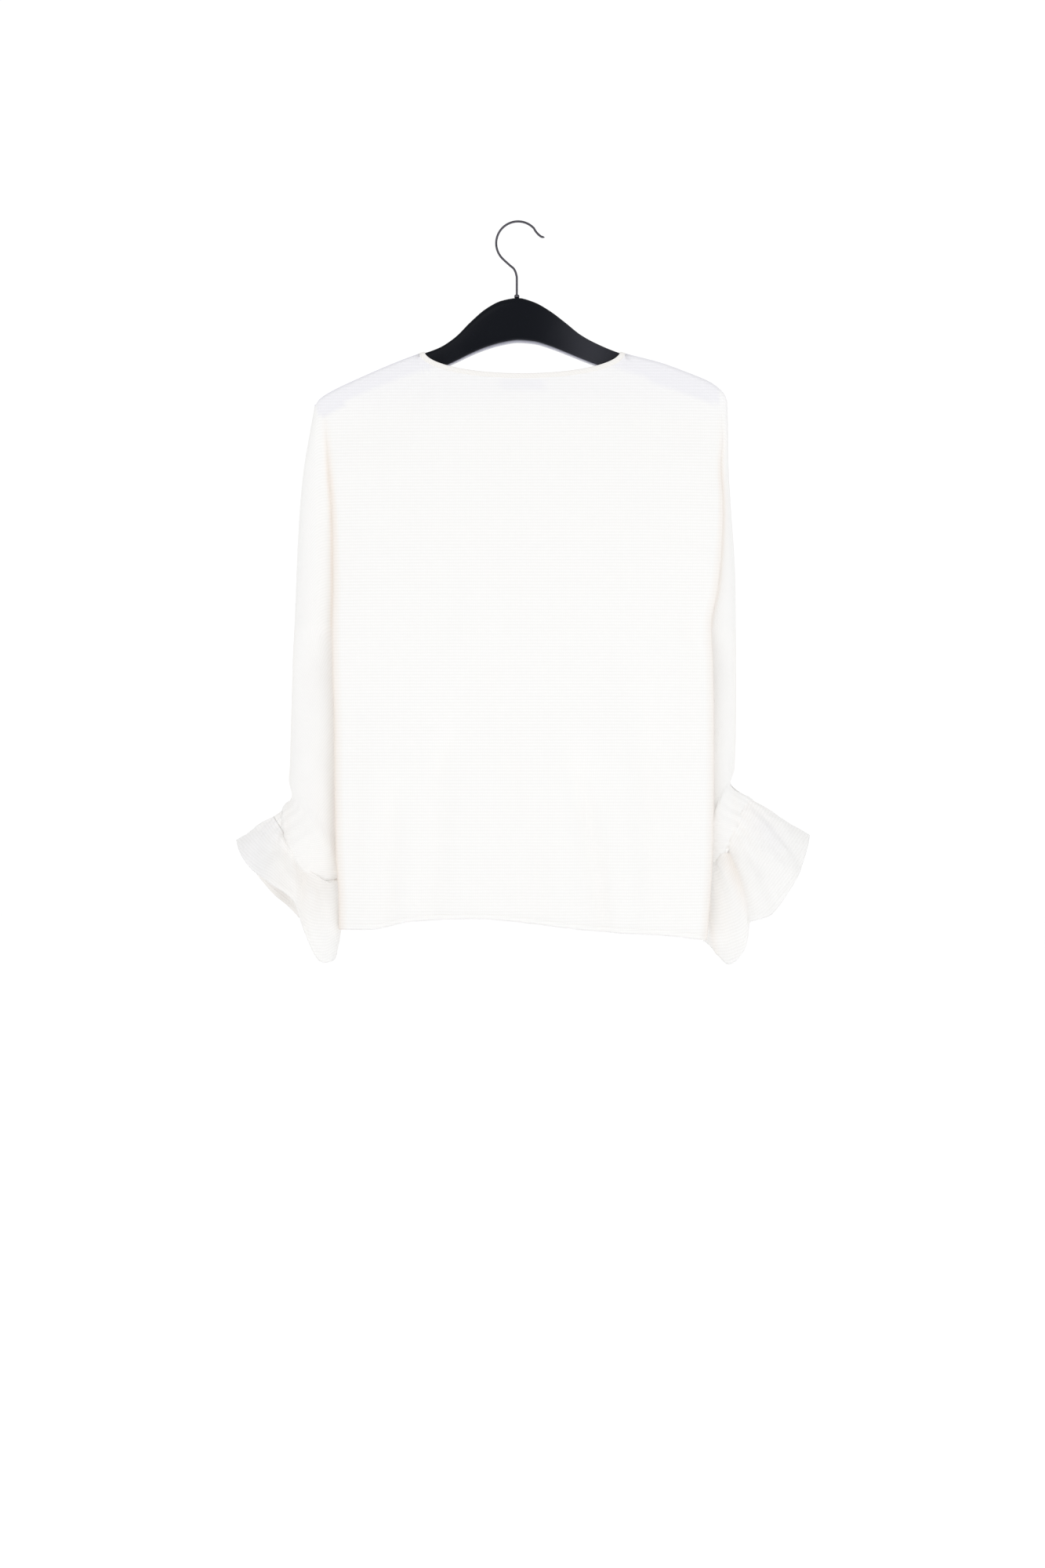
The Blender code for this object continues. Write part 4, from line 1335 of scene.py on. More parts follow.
@dataclass
class Panel:
    """Back or front, cut in one with its half of both sleeves, and how finely it is drawn."""

    side: Side
    sleeve: int = 56
    wrap: int = 8
    shoulder: int = 15
    neck: int = 56
    upper_rows: int = 46
    body_rows: int = 92
    lower_rows: int = 64
    grain_turn: float = 38.0
    ripples: tuple = (3.2, 1 / 70)
    closes_over: float = 1.6
    sleeve_lengths: float = 7
    crumples: tuple = (13, 1.6)
    softness: tuple = (2.6, 0.8)
    soft_height: float = 1.5
    first_drops: tuple = (0.0, 0.12, 0.35, 0.8, 1.5, 2.5, 3.8, 5.5)
    hem_path: Optional[Array] = None

    @property
    def wraps(self) -> int:
        """Columns of the body's fold, which only the back has."""
        return self.wrap if self.side is Side.BACK else 0

    def steps(self) -> Array:
        """Places round a sleeve's half, from its outer seam to its inner end."""
        return np.linspace(0, 1, self.sleeve)

    def wrap_angles(self) -> Array:
        """Turn of the body's fold at each column of the wrap, from the valley."""
        return (1 - np.linspace(0, 1, self.wrap + 1)) * WRAP_TURN

    def wrap_run(self) -> Array:
        """Share of the way from the body's fold into the valley at each column of the wrap."""
        return (1 - np.cos(self.wrap_angles())) / (1 - np.cos(WRAP_TURN))

    def wrap_depth(self) -> Array:
        """Share of the depth from the body's fold to the valley at each column of the wrap."""
        return np.sin(self.wrap_angles()) / np.sin(WRAP_TURN)

    def top_edge(self) -> Array:
        """Top edge: sleeve end, shoulder seam, neck, and the same again on the right.

        Returns:
            Points as x and z.
        """
        shares = neck_stations(self.side, self.neck)
        neck = neck_curve(self.side, shares, BINDING_WIDTH - UNDER_BINDING)
        z = HANGER[0].top
        halves = []
        for hand, inner in ((Hand.LEFT, neck[0, 0]), (Hand.RIGHT, neck[-1, 0])):
            outer, fold = level(hand.word + "_outer", z), level(hand.word + "_fold", z)
            valley = fold - hand.value * depth("tuck_" + hand.word, z)
            x = outer + (valley - outer) * (1 - np.cos(self.steps() * np.pi / 2))
            if self.wraps:
                x = np.concatenate([x, fold + (valley - fold) * self.wrap_run()[1:]])
            share = np.linspace(0, 1, self.shoulder + 2)[1:-1] ** SHOULDER_CROWD
            x = np.concatenate([x, x[-1] + (inner - x[-1]) * share])
            halves.append(np.stack([x, arm_line(x)], 1))
        return np.concatenate([halves[0], neck, halves[1][::-1]])

    def stations(self, left: Array, right: Array) -> Array:
        """Places across the body between its folds, those of the front split at the V's point.

        Args:
            left: left end of each column's row.
            right: right end of it.

        Returns:
            The places.
        """
        half = (2 * self.shoulder + self.neck + 1) // 2
        split = 0.0
        if self.side is Side.FRONT:
            apex = FRONT_NECK[neck_apex()].x
            split = float(np.median((2 * apex - left - right) / (right - left)))
        first = np.linspace(-BODY_EDGE[0], split, half)
        second = np.linspace(split, BODY_EDGE[0], half)[1:]
        across = np.concatenate([[-BODY_EDGE[1]], first, second, [BODY_EDGE[1]]])
        return (left + right) / 2 + (right - left) / 2 * across

    def inner_folds(self, z: Array) -> tuple[Array, Array]:
        """Both ends of the body between the sleeves.

        Args:
            z: heights.

        Returns:
            Left and right ends.
        """
        left, right = level("left_fold", z), level("right_fold", z)
        if self.side is Side.FRONT:
            left, right = left + depth("tuck_left", z), right - depth("tuck_right", z)
        return left, right

    def fold_columns(self, hand: Hand, z: Array, first: int) -> tuple[Array, Array]:
        """Body's fold from its edge into the valley behind the sleeve.

        Args:
            hand: which sleeve.
            z: height of each column.
            first: first column of the wrap that is wanted.

        Returns:
            Places across and depths.
        """
        tuck = -hand.value * depth("tuck_" + hand.word, z)
        edge, valley = depth("edge", z), depth("back_valley", z)
        run = self.wrap_run()[first:] if self.wraps else 1.0
        share = self.wrap_depth()[first:] if self.wraps else 1.0
        return level(hand.word + "_fold", z) + tuck * run, edge + (valley - edge) * share

    def upper_row(self, top: Array, z: Array, share: float) -> Array:
        """One row above the underarm, from the left sleeve's seam to the right one's.

        Args:
            top: the top edge, as x and z.
            z: height of each column in this row.
            share: how far down to the underarm, from 0 to 1.

        Returns:
            The row's points.
        """
        side, count = self.side.value, len(top)
        start = self.sleeve + self.wraps
        turn = self.steps() * np.pi
        x, y = np.zeros(count), np.zeros(count)
        fell = over_arm(top[:, 1] - z)
        for hand in Hand:
            pick = from_end(hand, np.arange(self.sleeve), count)
            outer, fold = (level(hand.word + word, z[pick]) for word in ("_outer", "_fold"))
            valley = fold - hand.value * depth("tuck_" + hand.word, z[pick])
            x[pick] = outer + (valley - outer) * (1 - np.cos(turn / 2))
            inner_y = depth(self.side.name.lower() + "_valley", z[pick])
            outer_y = depth("seam", z[pick])
            filled = ease((SLEEVE_TOP_Z - z[pick]) / SLEEVE_FILLS_OVER)
            bulge = side * UPPER_BULGE[self.side] * filled * np.sin(turn)
            place = (self.steps() * self.ripples[0], z[pick] * self.ripples[1])
            drawn = soft_noise(*place, Seed.SLEEVE + hand.value)
            ripple = side * CLOTH_RIPPLE * drawn * np.sin(turn) * ease((-z[pick] - 230) / 120)
            bow = (inner_y - outer_y) * np.sin(turn / 2)
            y[pick] = (outer_y + bow + bulge + ripple) * fell[pick]
            if self.wraps:
                span = from_end(hand, np.arange(self.sleeve, start), count)
                x[span], y[span] = self.fold_columns(hand, z[span], 1)
                y[span] *= fell[span]
        middle = slice(start, count - start)
        first_left, first_right = self.inner_folds(top[middle, 1])
        left, right = self.inner_folds(z[middle])
        given = (top[middle, 0] - first_left) / (first_right - first_left)
        settled = (self.stations(left, right) - left) / (right - left)
        x[middle] = left + (right - left) * (given + (settled - given) * ease(share))
        y[middle] = body_y(self.side, x[middle], z[middle])
        return np.stack([x, y, z], 1)

    def body_row(self, under: Array, share: float) -> Array:
        """One row of the body below the underarm.

        Args:
            under: the row at the underarm.
            share: how far down to the hem, from 0 to 1.

        Returns:
            The row's points.
        """
        count = len(under)
        end = through(HEM, "x", self.side.name.lower(), under[:, 0])
        z = UNDERARM_Z + (end - UNDERARM_Z) * share
        x, y = np.zeros(count), np.zeros(count)
        inside = self.wraps + 1
        middle = slice(inside, count - inside)
        x[middle] = self.stations(*self.inner_folds(z[middle]))
        y[middle] = body_y(self.side, x[middle], z[middle])
        for hand in Hand:
            span = from_end(hand, np.arange(inside), count)
            x[span], y[span] = self.fold_columns(hand, z[span], 0)
        return np.stack([x, y, z], 1)

    def strip(self, row: SleeveRow, rounded: float) -> Array:
        """One half ring of a sleeve from its outer seam to its inner end.

        Args:
            row: section of the sleeve.
            rounded: 0 where the inner end is open, 1 where it is closed.

        Returns:
            The half ring's points.
        """
        turn = self.steps()[:, None] * np.pi
        open_run, closed_run = 1 - np.cos(turn / 2), (1 - np.cos(turn)) / 2
        run = open_run + (closed_run - open_run) * rounded
        outer = np.array([row.x_outer, row.centre, row.z_outer])
        inner = np.array([row.x_inner, row.centre, row.z_inner])
        points = outer + (inner - outer) * run
        bulge = row.back if self.side is Side.BACK else row.front
        points[:, 1] += self.side.value * bulge * np.sin(turn[:, 0])
        return points

    def lower_sleeve(self, hand: Hand, under: Array) -> Array:
        """Rows of a sleeve's half from the underarm to its lap over the casing.

        Args:
            hand: which sleeve.
            under: its row at the underarm, from the outer seam inwards.

        Returns:
            The rows, the first one as given.
        """
        cuff = CUFFS[hand]
        rows = [under]
        for k, row in enumerate(SLEEVES[hand]):
            rows.append(self.strip(row, float(ease((k + 1) / self.closes_over))))
        turns = self.steps() / 2
        turns = turns if self.side is Side.BACK else 1 - turns
        hang = droop_share(self.steps()) if self.side is Side.BACK else 0 * turns
        along_way = cuff_axes(hand)[1]
        for lap in LAPS:
            covers = LAP_COVERS * ease((lap.reach + 2.5) / 6) if hand is Hand.RIGHT else 0
            reach = lap.reach + covers
            plain = casing_ring(hand, turns, reach - BAND_WIDTH / 2, lap.grow)
            drooped = casing_ring(hand, turns, lap.droop_reach - BAND_WIDTH / 2, lap.droop_grow)
            drooped += along_way * cuff.droop * lap.droop_share
            share = np.minimum(hang, cuff.droop / FULL_DROOP)[:, None]
            rows.append(plain + (drooped - plain) * share)
        grid = along_rows(np.array(rows), self.lower_rows)
        out = grid_normals(grid) * self.side.value * hand.value
        near = ease((np.linspace(0, 1, self.lower_rows) - PLEATS_FROM) / PLEATS_OVER)[:, None]
        pleats = (gather_wave(turns, hand) - 0.45)[None, :] * PLEAT_DEPTH[hand] * near
        down = np.linspace(0, self.sleeve_lengths, self.lower_rows)[:, None]
        often = self.crumples
        drawn = soft_noise(turns[None, :] * often[0] + 0 * down, down * often[1], Seed.CRUMPLE)
        pleats = pleats + CRUMPLE[hand] * drawn * near
        across = self.steps()[None, :] * self.softness[0] + 0 * down
        drawn = soft_noise(across, down * self.softness[1], Seed.SLEEVE_SOFT + hand.value)
        soft = self.soft_height * drawn
        amount = pleats + soft * np.sin(np.pi * self.steps()) * ease(down / 2)
        return grid + out * amount[..., None]

    def make(self, finishes: Finishes) -> Thing:
        """Builds the panel's shell with its cut map and the values its finish reads.

        Args:
            finishes: every finish.

        Returns:
            The shell.
        """
        top = self.top_edge()
        count = len(top)
        rows = [self.upper_row(top, top[:, 1] - drop, 0) for drop in self.first_drops]
        start_z = top[:, 1] - self.first_drops[-1]
        for share in np.linspace(0, 1, self.upper_rows + 1)[1:]:
            rows.append(self.upper_row(top, start_z - (start_z - UNDERARM_Z) * share, share))
        upper = np.array(rows)
        first = self.sleeve - 1
        under = upper[-1, first : count - first]
        shares = np.linspace(0, 1, self.body_rows + 1)[1:]
        body = np.array([under, *[self.body_row(under, share) for share in shares]])
        draft = Draft()
        turned = self.side is Side.FRONT
        cut_upper, into = self.cut_map(upper), np.zeros(count)
        into[: self.sleeve] = 1 - self.steps()
        into[count - self.sleeve :] = (1 - self.steps())[::-1]
        cut_upper = self.turn_grain(cut_upper, into[None, :] + 0 * upper[..., 0])
        index = draft.add_grid(upper, cut_upper, *self.values(upper, 0 * upper[..., 0]))
        draft.join(index, turned)
        hem = ease((BODY_HEM - (body[..., 2] - body[-1, :, 2])) / HEM_EDGE)
        cut_body = self.cut_map(body)
        below = draft.add_grid(body[1:], cut_body[1:], *self.values(body[1:], hem[1:]))
        draft.join(np.concatenate([index[-1:, first : count - first], below]), turned)
        for hand in Hand:
            pick = from_end(hand, np.arange(self.sleeve), count)
            grid = self.lower_sleeve(hand, upper[-1, pick])
            cut = self.lower_cut(grid, cut_upper[-1, pick], hand)
            added = draft.add_grid(grid[1:], cut[1:], *self.sleeve_values(grid[1:], hand))
            whole = np.concatenate([index[-1:, pick], added])
            draft.join(whole, turned != (hand is Hand.RIGHT))
        obj = draft.mesh_object(self.side.name.lower() + "_shell", finishes.crepe)
        give_wall(obj, CLOTH_WALL)
        lift = np.array([0, self.side.value * (CLOTH_WALL / 2 + STITCH_LIFT), 0])
        self.hem_path = body[-1] + (body[-4] - body[-1]) * 0.55 + lift
        return obj

    def cut_map(self, grid: Array) -> Array:
        """Place of each point in the cut cloth: length across from the middle, and height.

        Args:
            grid: rows and columns of points.

        Returns:
            Place of each point in the cut.
        """
        steps = np.linalg.norm(np.diff(grid[..., :2], axis=1), axis=2)
        run = np.concatenate([np.zeros((len(grid), 1)), np.cumsum(steps, axis=1)], axis=1)
        middle = grid.shape[1] // 2
        across = run - run[:, middle : middle + 1] + grid[:, middle : middle + 1, 0]
        return np.stack([across, grid[..., 2]], axis=2)

    def turn_grain(self, cut: Array, into: Array) -> Array:
        """Turns the grain about the end of each shoulder, further out along the sleeve.

        Args:
            cut: place of each point in the cut.
            into: how far into the sleeve each one is, from 0 to 1.

        Returns:
            The turned places.
        """
        turned = cut.copy()
        for hand in Hand:
            pivot = np.array([hand.value, 1]) * SHOULDER_PIVOT
            near = cut[..., 0] * hand.value > 0
            angle = np.radians(self.grain_turn) * hand.value * ease(into) * near
            away = cut - pivot
            x = away[..., 0] * np.cos(angle) - away[..., 1] * np.sin(angle)
            y = away[..., 0] * np.sin(angle) + away[..., 1] * np.cos(angle)
            turned[near] = (np.stack([x, y], -1) + pivot)[near]
        return turned

    def lower_cut(self, grid: Array, first: Array, hand: Hand) -> Array:
        """Cut map of a sleeve below the underarm, carried on from its first row.

        Args:
            grid: the sleeve's rows.
            first: the first row's place in the cut.
            hand: which sleeve.

        Returns:
            Place of each point in the cut.
        """
        angle = np.radians(self.grain_turn) * hand.value
        way = np.array([np.sin(angle), -np.cos(angle)])
        return first[None] + run_along(grid)[..., None] * way

    def values(self, grid: Array, hem: Array) -> tuple[Array, Array, Array]:
        """Values that the finish reads at each point of the body.

        Args:
            grid: rows and columns of points.
            hem: where the cloth is double.

        Returns:
            Bluish painted shade where the hanger and label show through, warmer painted shade, and
            the hem.
        """
        x, z = grid[..., 0], grid[..., 2]
        top, bottom = arm_line(x), through(HANGER, "x", "bottom", x)
        # Painted shadow of the hanger's arms seen through the cloth
        arm_shadow = ease((top - z) / 1.5 + 0.4) * ease((z - bottom) / 2.5 + 0.5)
        arm_shadow *= ease((ARM_TIP_X - np.abs(x)) / 4)
        # Painted dark line of shade along the top edge of each shoulder, away from the neck
        edge = np.where(x < 0, *TINTS.arm_edge_shade) * bell(z - top, 1.3)
        painted_light = TINTS.arm * arm_shadow + edge * (np.abs(x) > ARM_EDGE_FROM_X)
        # Faint bluish painted shade over the shoulders beside the arms
        painted_light += TINTS.shoulders * ease((z + 235) / 60) * (1 - arm_shadow)
        if self.side is Side.BACK:
            # Painted shadow of the label seen through the back
            label = ease((x - LABEL_X[0]) / 1.5) * ease((LABEL_X[1] - x) / 1.5)
            label = label * ease((z - LABEL_Z[0]) / 1.5) * ease((LABEL_Z[1] - z) / 1.5)
            painted_light += TINTS.label * label
        # Warmer painted shade in folds and creases, strongest along the body's fold lines
        warm_shade = TINTS.fold * np.clip(relief(FOLDS[self.side], x, z) / 6, 0, 1.5)
        warm_shade += TINTS.crease * np.clip(crease_relief(CREASES[self.side], x, z) / 2, 0, 1.5)
        low = ease((-z - 200) / 90)
        for name, tint in zip(("left_fold", "right_fold"), TINTS.body_fold):
            warm_shade += tint * bell(x - level(name, z), 4) * low
        return painted_light, warm_shade, hem

    def sleeve_values(self, grid: Array, hand: Hand) -> tuple[Array, Array, Array]:
        """The same values on a sleeve below the underarm.

        Args:
            grid: rows and columns of points.
            hand: which sleeve.

        Returns:
            Bluish painted shade, here none, warmer painted shade, and the hem, here none.
        """
        x, z = grid[..., 0], grid[..., 2]
        # Warmer painted shade along the sleeve's fold and outer seam, and on the left sleeve
        # towards its cuff
        tint = TINTS.sleeve_fold[hand is Hand.RIGHT]
        warm_shade = tint * bell(x - level(hand.word + "_fold", z), 6)
        warm_shade = warm_shade + TINTS.sleeve_seam * bell(x - level(hand.word + "_outer", z), 4)
        if hand is Hand.LEFT:
            warm_shade = warm_shade + TINTS.near_cuff * ease((-z - 560) / 120)
        return 0 * x, warm_shade, 0 * x


@dataclass
class NeckBinding:
    """Bias strip round the whole neck edge, rounded in section."""

    quads: int = 90
    section: int = 12
    squareness: float = 0.6
    stitched_at: float = 0.86
    # Even shares of the bluish and the warmer colours over the whole strip, which only set its tone
    tints: tuple = (0.02, 0.03)

    def line(self, offset: float) -> Array:
        """Closed line round the neck.

        Args:
            offset: how far out from the opening it is.

        Returns:
            Its points.
        """
        lines = []
        for side in Side:
            line = neck_curve(side, neck_stations(side, self.quads), offset)
            y = body_y(side, line[:, 0], line[:, 1])
            y[[0, -1]] = 0
            lines.append(np.stack([line[:, 0], y, line[:, 1]], 1))
        return np.concatenate([lines[0], lines[1][-2:0:-1]])

    def make(self, finishes: Finishes) -> Thing:
        """Builds the strip.

        Args:
            finishes: every finish.

        Returns:
            The strip.
        """
        inner, outer = self.line(0.0), self.line(BINDING_WIDTH)
        middle, half = (inner + outer) / 2, (outer - inner) / 2
        along = np.roll(middle, -1, axis=0) - np.roll(middle, 1, axis=0)
        out = unit(np.cross(along, half))
        angle = np.linspace(0, 2 * np.pi, self.section, endpoint=False)
        across, rise = (way[None, :, None] for way in squared_circle(angle, self.squareness))
        grid = middle[:, None] + half[:, None] * across + out[:, None] * rise * BINDING_WALL / 2
        run = run_along(middle)
        cut = np.stack(np.broadcast_arrays(run[:, None], (angle * 3.2)[None, :]), -1)
        cut = np.stack([cut[..., 0] + cut[..., 1], cut[..., 1] - cut[..., 0]], -1) / np.sqrt(2)
        draft = Draft()
        index = draft.add_grid(grid, cut, *self.tints, 0.0)
        draft.join(np.concatenate([index, index[:1]]), turned=False, closed=True)
        return draft.mesh_object("binding_strip", finishes.binding)

    def stitch_paths(self) -> list[Array]:
        """Line of topstitching near the strip's outer edge, on the outside.

        Returns:
            One path.
        """
        inner, outer = self.line(0.0), self.line(BINDING_WIDTH)
        line = inner + (outer - inner) * self.stitched_at
        along = np.roll(line, -1, axis=0) - np.roll(line, 1, axis=0)
        out = unit(np.cross(along, outer - inner))
        out *= np.where(np.sign(out[:, 1]) == np.sign(line[:, 1]), 1, -1)[:, None]
        return [line + out * (BINDING_WALL / 2)]


@dataclass
class Cuff:
    """Gathered casing at a wrist and the deep flounce that falls from it."""

    hand: Hand
    points_a_gather: int = 12
    band_rows: int = 16
    flounce_rows: int = 44
    waves: int = 7
    wave_height: float = 4.5
    gather_height: float = 1.6
    leave: float = 12.0
    lift: float = 5.0
    drop: float = 45.0
    valley_depth: float = 9.0
    tuck_in: float = 6.0
    rise: float = 0.62
    fuzz: float = 0.25
    second_wave: float = 0.35
    root_pleats: float = 0.75
    fine_often: float = 26
    fine_ripple: float = 1.6
    soft_often: float = 34
    soft_ripple: float = 1.3
    cut_width: float = 330

    @property
    def shape(self) -> FlounceShape:
        """How this cuff's flounce leaves its casing."""
        return FLOUNCE_SHAPES[self.hand]

    def valleys(self, turns: Array) -> Array:
        """Depth of the long hollows that run down the flounce, 1 in the middle of one."""
        return sum(share * bell(turns - at, width) for at, width, share in self.shape.valleys)

    def turns(self) -> Array:
        """Places round the wrist."""
        return np.arange(GATHERS * self.points_a_gather) / (GATHERS * self.points_a_gather)

    def band(self, finishes: Finishes) -> Thing:
        """Casing: pleats that lean and vary, pinched along both seams.

        Args:
            finishes: every finish.

        Returns:
            The casing.
        """
        turns = self.turns()
        place = np.linspace(-1, 1, self.band_rows)
        rings = []
        for k, at in enumerate(place):
            lean = turns + 0.006 * np.sin(2 * np.pi * (3 * turns + 0.2 * at)) * at
            pinch = 0.65 + 0.35 * (1 - at**6)
            height = self.gather_height * gather_wave(lean, self.hand) * pinch
            drawn = soft_noise(turns * 70, turns * 0 + k / 4, Seed.CASING)
            height = height + self.fuzz * drawn
            rings.append(casing_ring(self.hand, turns, at * BAND_WIDTH / 2, CLOTH_WALL + height))
        grid = np.array(rings)
        run = turns * 2 * np.pi * 26
        cut = np.stack(np.broadcast_arrays(run[None, :], (place * 10)[:, None]), -1)
        draft = Draft()
        # Warmer painted shade in the grooves between gathers
        groove_shade = TINTS.groove_shade * (1 - gather_wave(turns, self.hand))[None, :]
        index = draft.add_grid(grid, cut, 0.0, groove_shade, 0.0)
        draft.join(index, turned=self.hand is Hand.LEFT, closed=True)
        obj = draft.mesh_object("casing_" + self.hand.word, finishes.crepe)
        give_wall(obj, CLOTH_WALL)
        return obj

    def flounce_grid(self) -> Array:
        """Rows of the flounce from its gathered root to its free edge.

        Returns:
            The rows.
        """
        turns = self.turns()
        edge, shape = FLOUNCES[self.hand], self.shape
        closed = edge + (edge[0]._replace(turn=1.0),)
        hem = np.stack([through(closed, "turn", key, turns) for key in "xyz"], 1)
        if self.hand is Hand.LEFT:
            hem[:, 2] += NEAR_HEM_RISE * bell(turns - 0.2, 0.1)
        along_way = cuff_axes(self.hand)[1]
        phase = CUFFS[self.hand].phase
        root = casing_ring(self.hand, turns, shape.root_reach, shape.root_grow)
        out = casing_ring(self.hand, turns, shape.root_reach, shape.root_grow + 1) - root
        wave = np.sin(2 * np.pi * self.waves * turns + phase)
        wave += self.second_wave * np.sin(2 * np.pi * 5 * turns + 2 * phase)
        wave *= np.sqrt(np.abs(np.sin(2 * np.pi * turns)))
        spread = (root + 2 * hem) / 3 + along_way * self.lift
        hangs = ((1 - np.cos(2 * np.pi * turns)) / 2)[:, None]
        drop = hem + np.array([-self.hand.value * self.tuck_in, 0, self.drop])
        fall = spread + (drop - spread) * hangs
        inward = np.array([-self.hand.value, 0, self.rise]) * shape.inward * hangs**4
        under_lap = 1.0 + 0 * turns
        if self.hand is Hand.LEFT:
            under_lap = ease((droop_share(2 * turns) - 0.45) / 0.35)
        leave = root + (along_way * (1 - hangs) - np.array([0, 0, 1]) * hangs) * self.leave + inward
        fine = soft_noise(turns * self.fine_often, turns * 0 + self.hand.value, Seed.FLOUNCE)
        gathers, rings = gather_wave(turns, self.hand), []
        for r in np.linspace(0, 1, self.flounce_rows):
            near = root * (1 - r) ** 3 + leave * 3 * r * (1 - r) ** 2
            ring = near + fall * 3 * r * r * (1 - r) + hem * r**3
            pleat = self.gather_height * self.root_pleats * gathers * (1 - r) ** 1.6
            ripple = self.fine_ripple * fine * np.sin(np.pi * min(r * 1.2, 1.0)) + 0.4 * fine * r
            push = pleat + self.wave_height * wave * r * r + ripple
            push = push + shape.swell * bell(r - shape.swell_at, 0.1) * under_lap
            drawn = soft_noise(turns * self.soft_often, turns * 0 + r * 7, Seed.FLOUNCE_SOFT)
            push = push + self.soft_ripple * drawn * np.sin(np.pi * r)
            push = push - self.valley_depth * self.valleys(turns) * np.sin(np.pi * r**0.7) ** 0.8
            rings.append(ring + out * push[:, None])
        return np.array(rings)

    def flounce(self, finishes: Finishes) -> Thing:
        """Builds the flounce's shell.

        Args:
            finishes: every finish.

        Returns:
            The shell.
        """
        grid = self.flounce_grid()
        down = run_along(grid)
        across = self.turns()[None, :] * self.cut_width + 0 * down
        draft = Draft()
        hem = ease((FLOUNCE_HEM - (down[-1] - down)) / HEM_EDGE)
        # Warmer painted shade in the gathers' grooves near the root, fading down the flounce
        groove_shade = (1 - gather_wave(self.turns(), self.hand))[None, :] * np.exp(-down / 30)
        cool_shade, warm_shade = self.tints(down)
        cut = np.stack([across, -down], -1)
        index = draft.add_grid(grid, cut, cool_shade, TINTS.groove_shade * groove_shade + warm_shade, hem)
        draft.join(index, turned=self.hand is Hand.LEFT, closed=True)
        obj = draft.mesh_object("flounce_" + self.hand.word, finishes.crepe)
        give_wall(obj, CLOTH_WALL)
        return obj

    def tints(self, down: Array) -> tuple[Array, Array]:
        """Painted bluish shade where the flounce faces out, and warmer painted shade in its hollows
        and far layer.

        Args:
            down: length from the root to each point.

        Returns:
            Shares of the bluish painted shade and of the warmer painted shade.
        """
        turns = self.turns()[None, :] + 0 * down
        share = down / down[-1]
        hollow_shade = self.valleys(turns - 0.012) * np.sin(np.pi * share**0.6)
        if self.hand is Hand.LEFT:
            # Left: bluish painted shade on the near layer's top, warmer painted shade on its
            # middle, the far layer and the fold between
            cool_shade = 0.045 * bell(turns - 0.08, 0.08)
            warm_shade = 0.03 * bell(turns - 0.27, 0.09) + 0.07 * ease((turns - 0.52) / 0.06)
            warm_shade += 0.22 * bell(turns - 0.50, 0.045) * (1 - share)
            return cool_shade, warm_shade + 0.05 * hollow_shade
        # Right: bluish painted shade where it faces out, warmer painted shade in its hollows and at
        # its inner fold
        cool_shade = 0.05 * bell(turns - 0.12, 0.06) * bell(share - 0.4, 0.3)
        return cool_shade, 0.13 * hollow_shade + 0.08 * bell(turns - 0.505, 0.02)

    def stitch_paths(self) -> list[Array]:
        """Line of hem stitches near the flounce's free edge, on the outside.

        Returns:
            One path.
        """
        grid = self.flounce_grid()
        row = grid[-4]
        out = grid_normals(np.concatenate([grid, grid[:, :1]], axis=1))[-4, :-1] * self.hand.value
        line = row + out * (CLOTH_WALL / 2 + STITCH_LIFT)
        return [np.concatenate([line, line[:1]])]


@dataclass
class Label:
    """Blank woven label inside the back of the neck."""

    wall: float = 0.5
    columns: int = 25
    rows: int = 9

    def make(self, finishes: Finishes) -> Thing:
        """Builds the label on the inside of the back.

        Args:
            finishes: every finish.

        Returns:
            The label.
        """
        across, down = np.linspace(*LABEL_X, self.columns), np.linspace(*LABEL_Z[::-1], self.rows)
        x, z = np.meshgrid(across, down)
        y = body_y(Side.BACK, x, z) + CLOTH_WALL / 2 + LABEL_GAP + self.wall / 2
        y += LABEL_BOW * np.sin(np.pi * (x - LABEL_X[0]) / (LABEL_X[1] - LABEL_X[0]))
        draft = Draft()
        index = draft.add_grid(np.stack([x, y, z], -1), np.stack([x, z], -1), 0.0, 0.0, 0.0)
        draft.join(index, turned=True)
        obj = draft.mesh_object("label_blank", finishes.label)
        give_wall(obj, self.wall)
        return obj


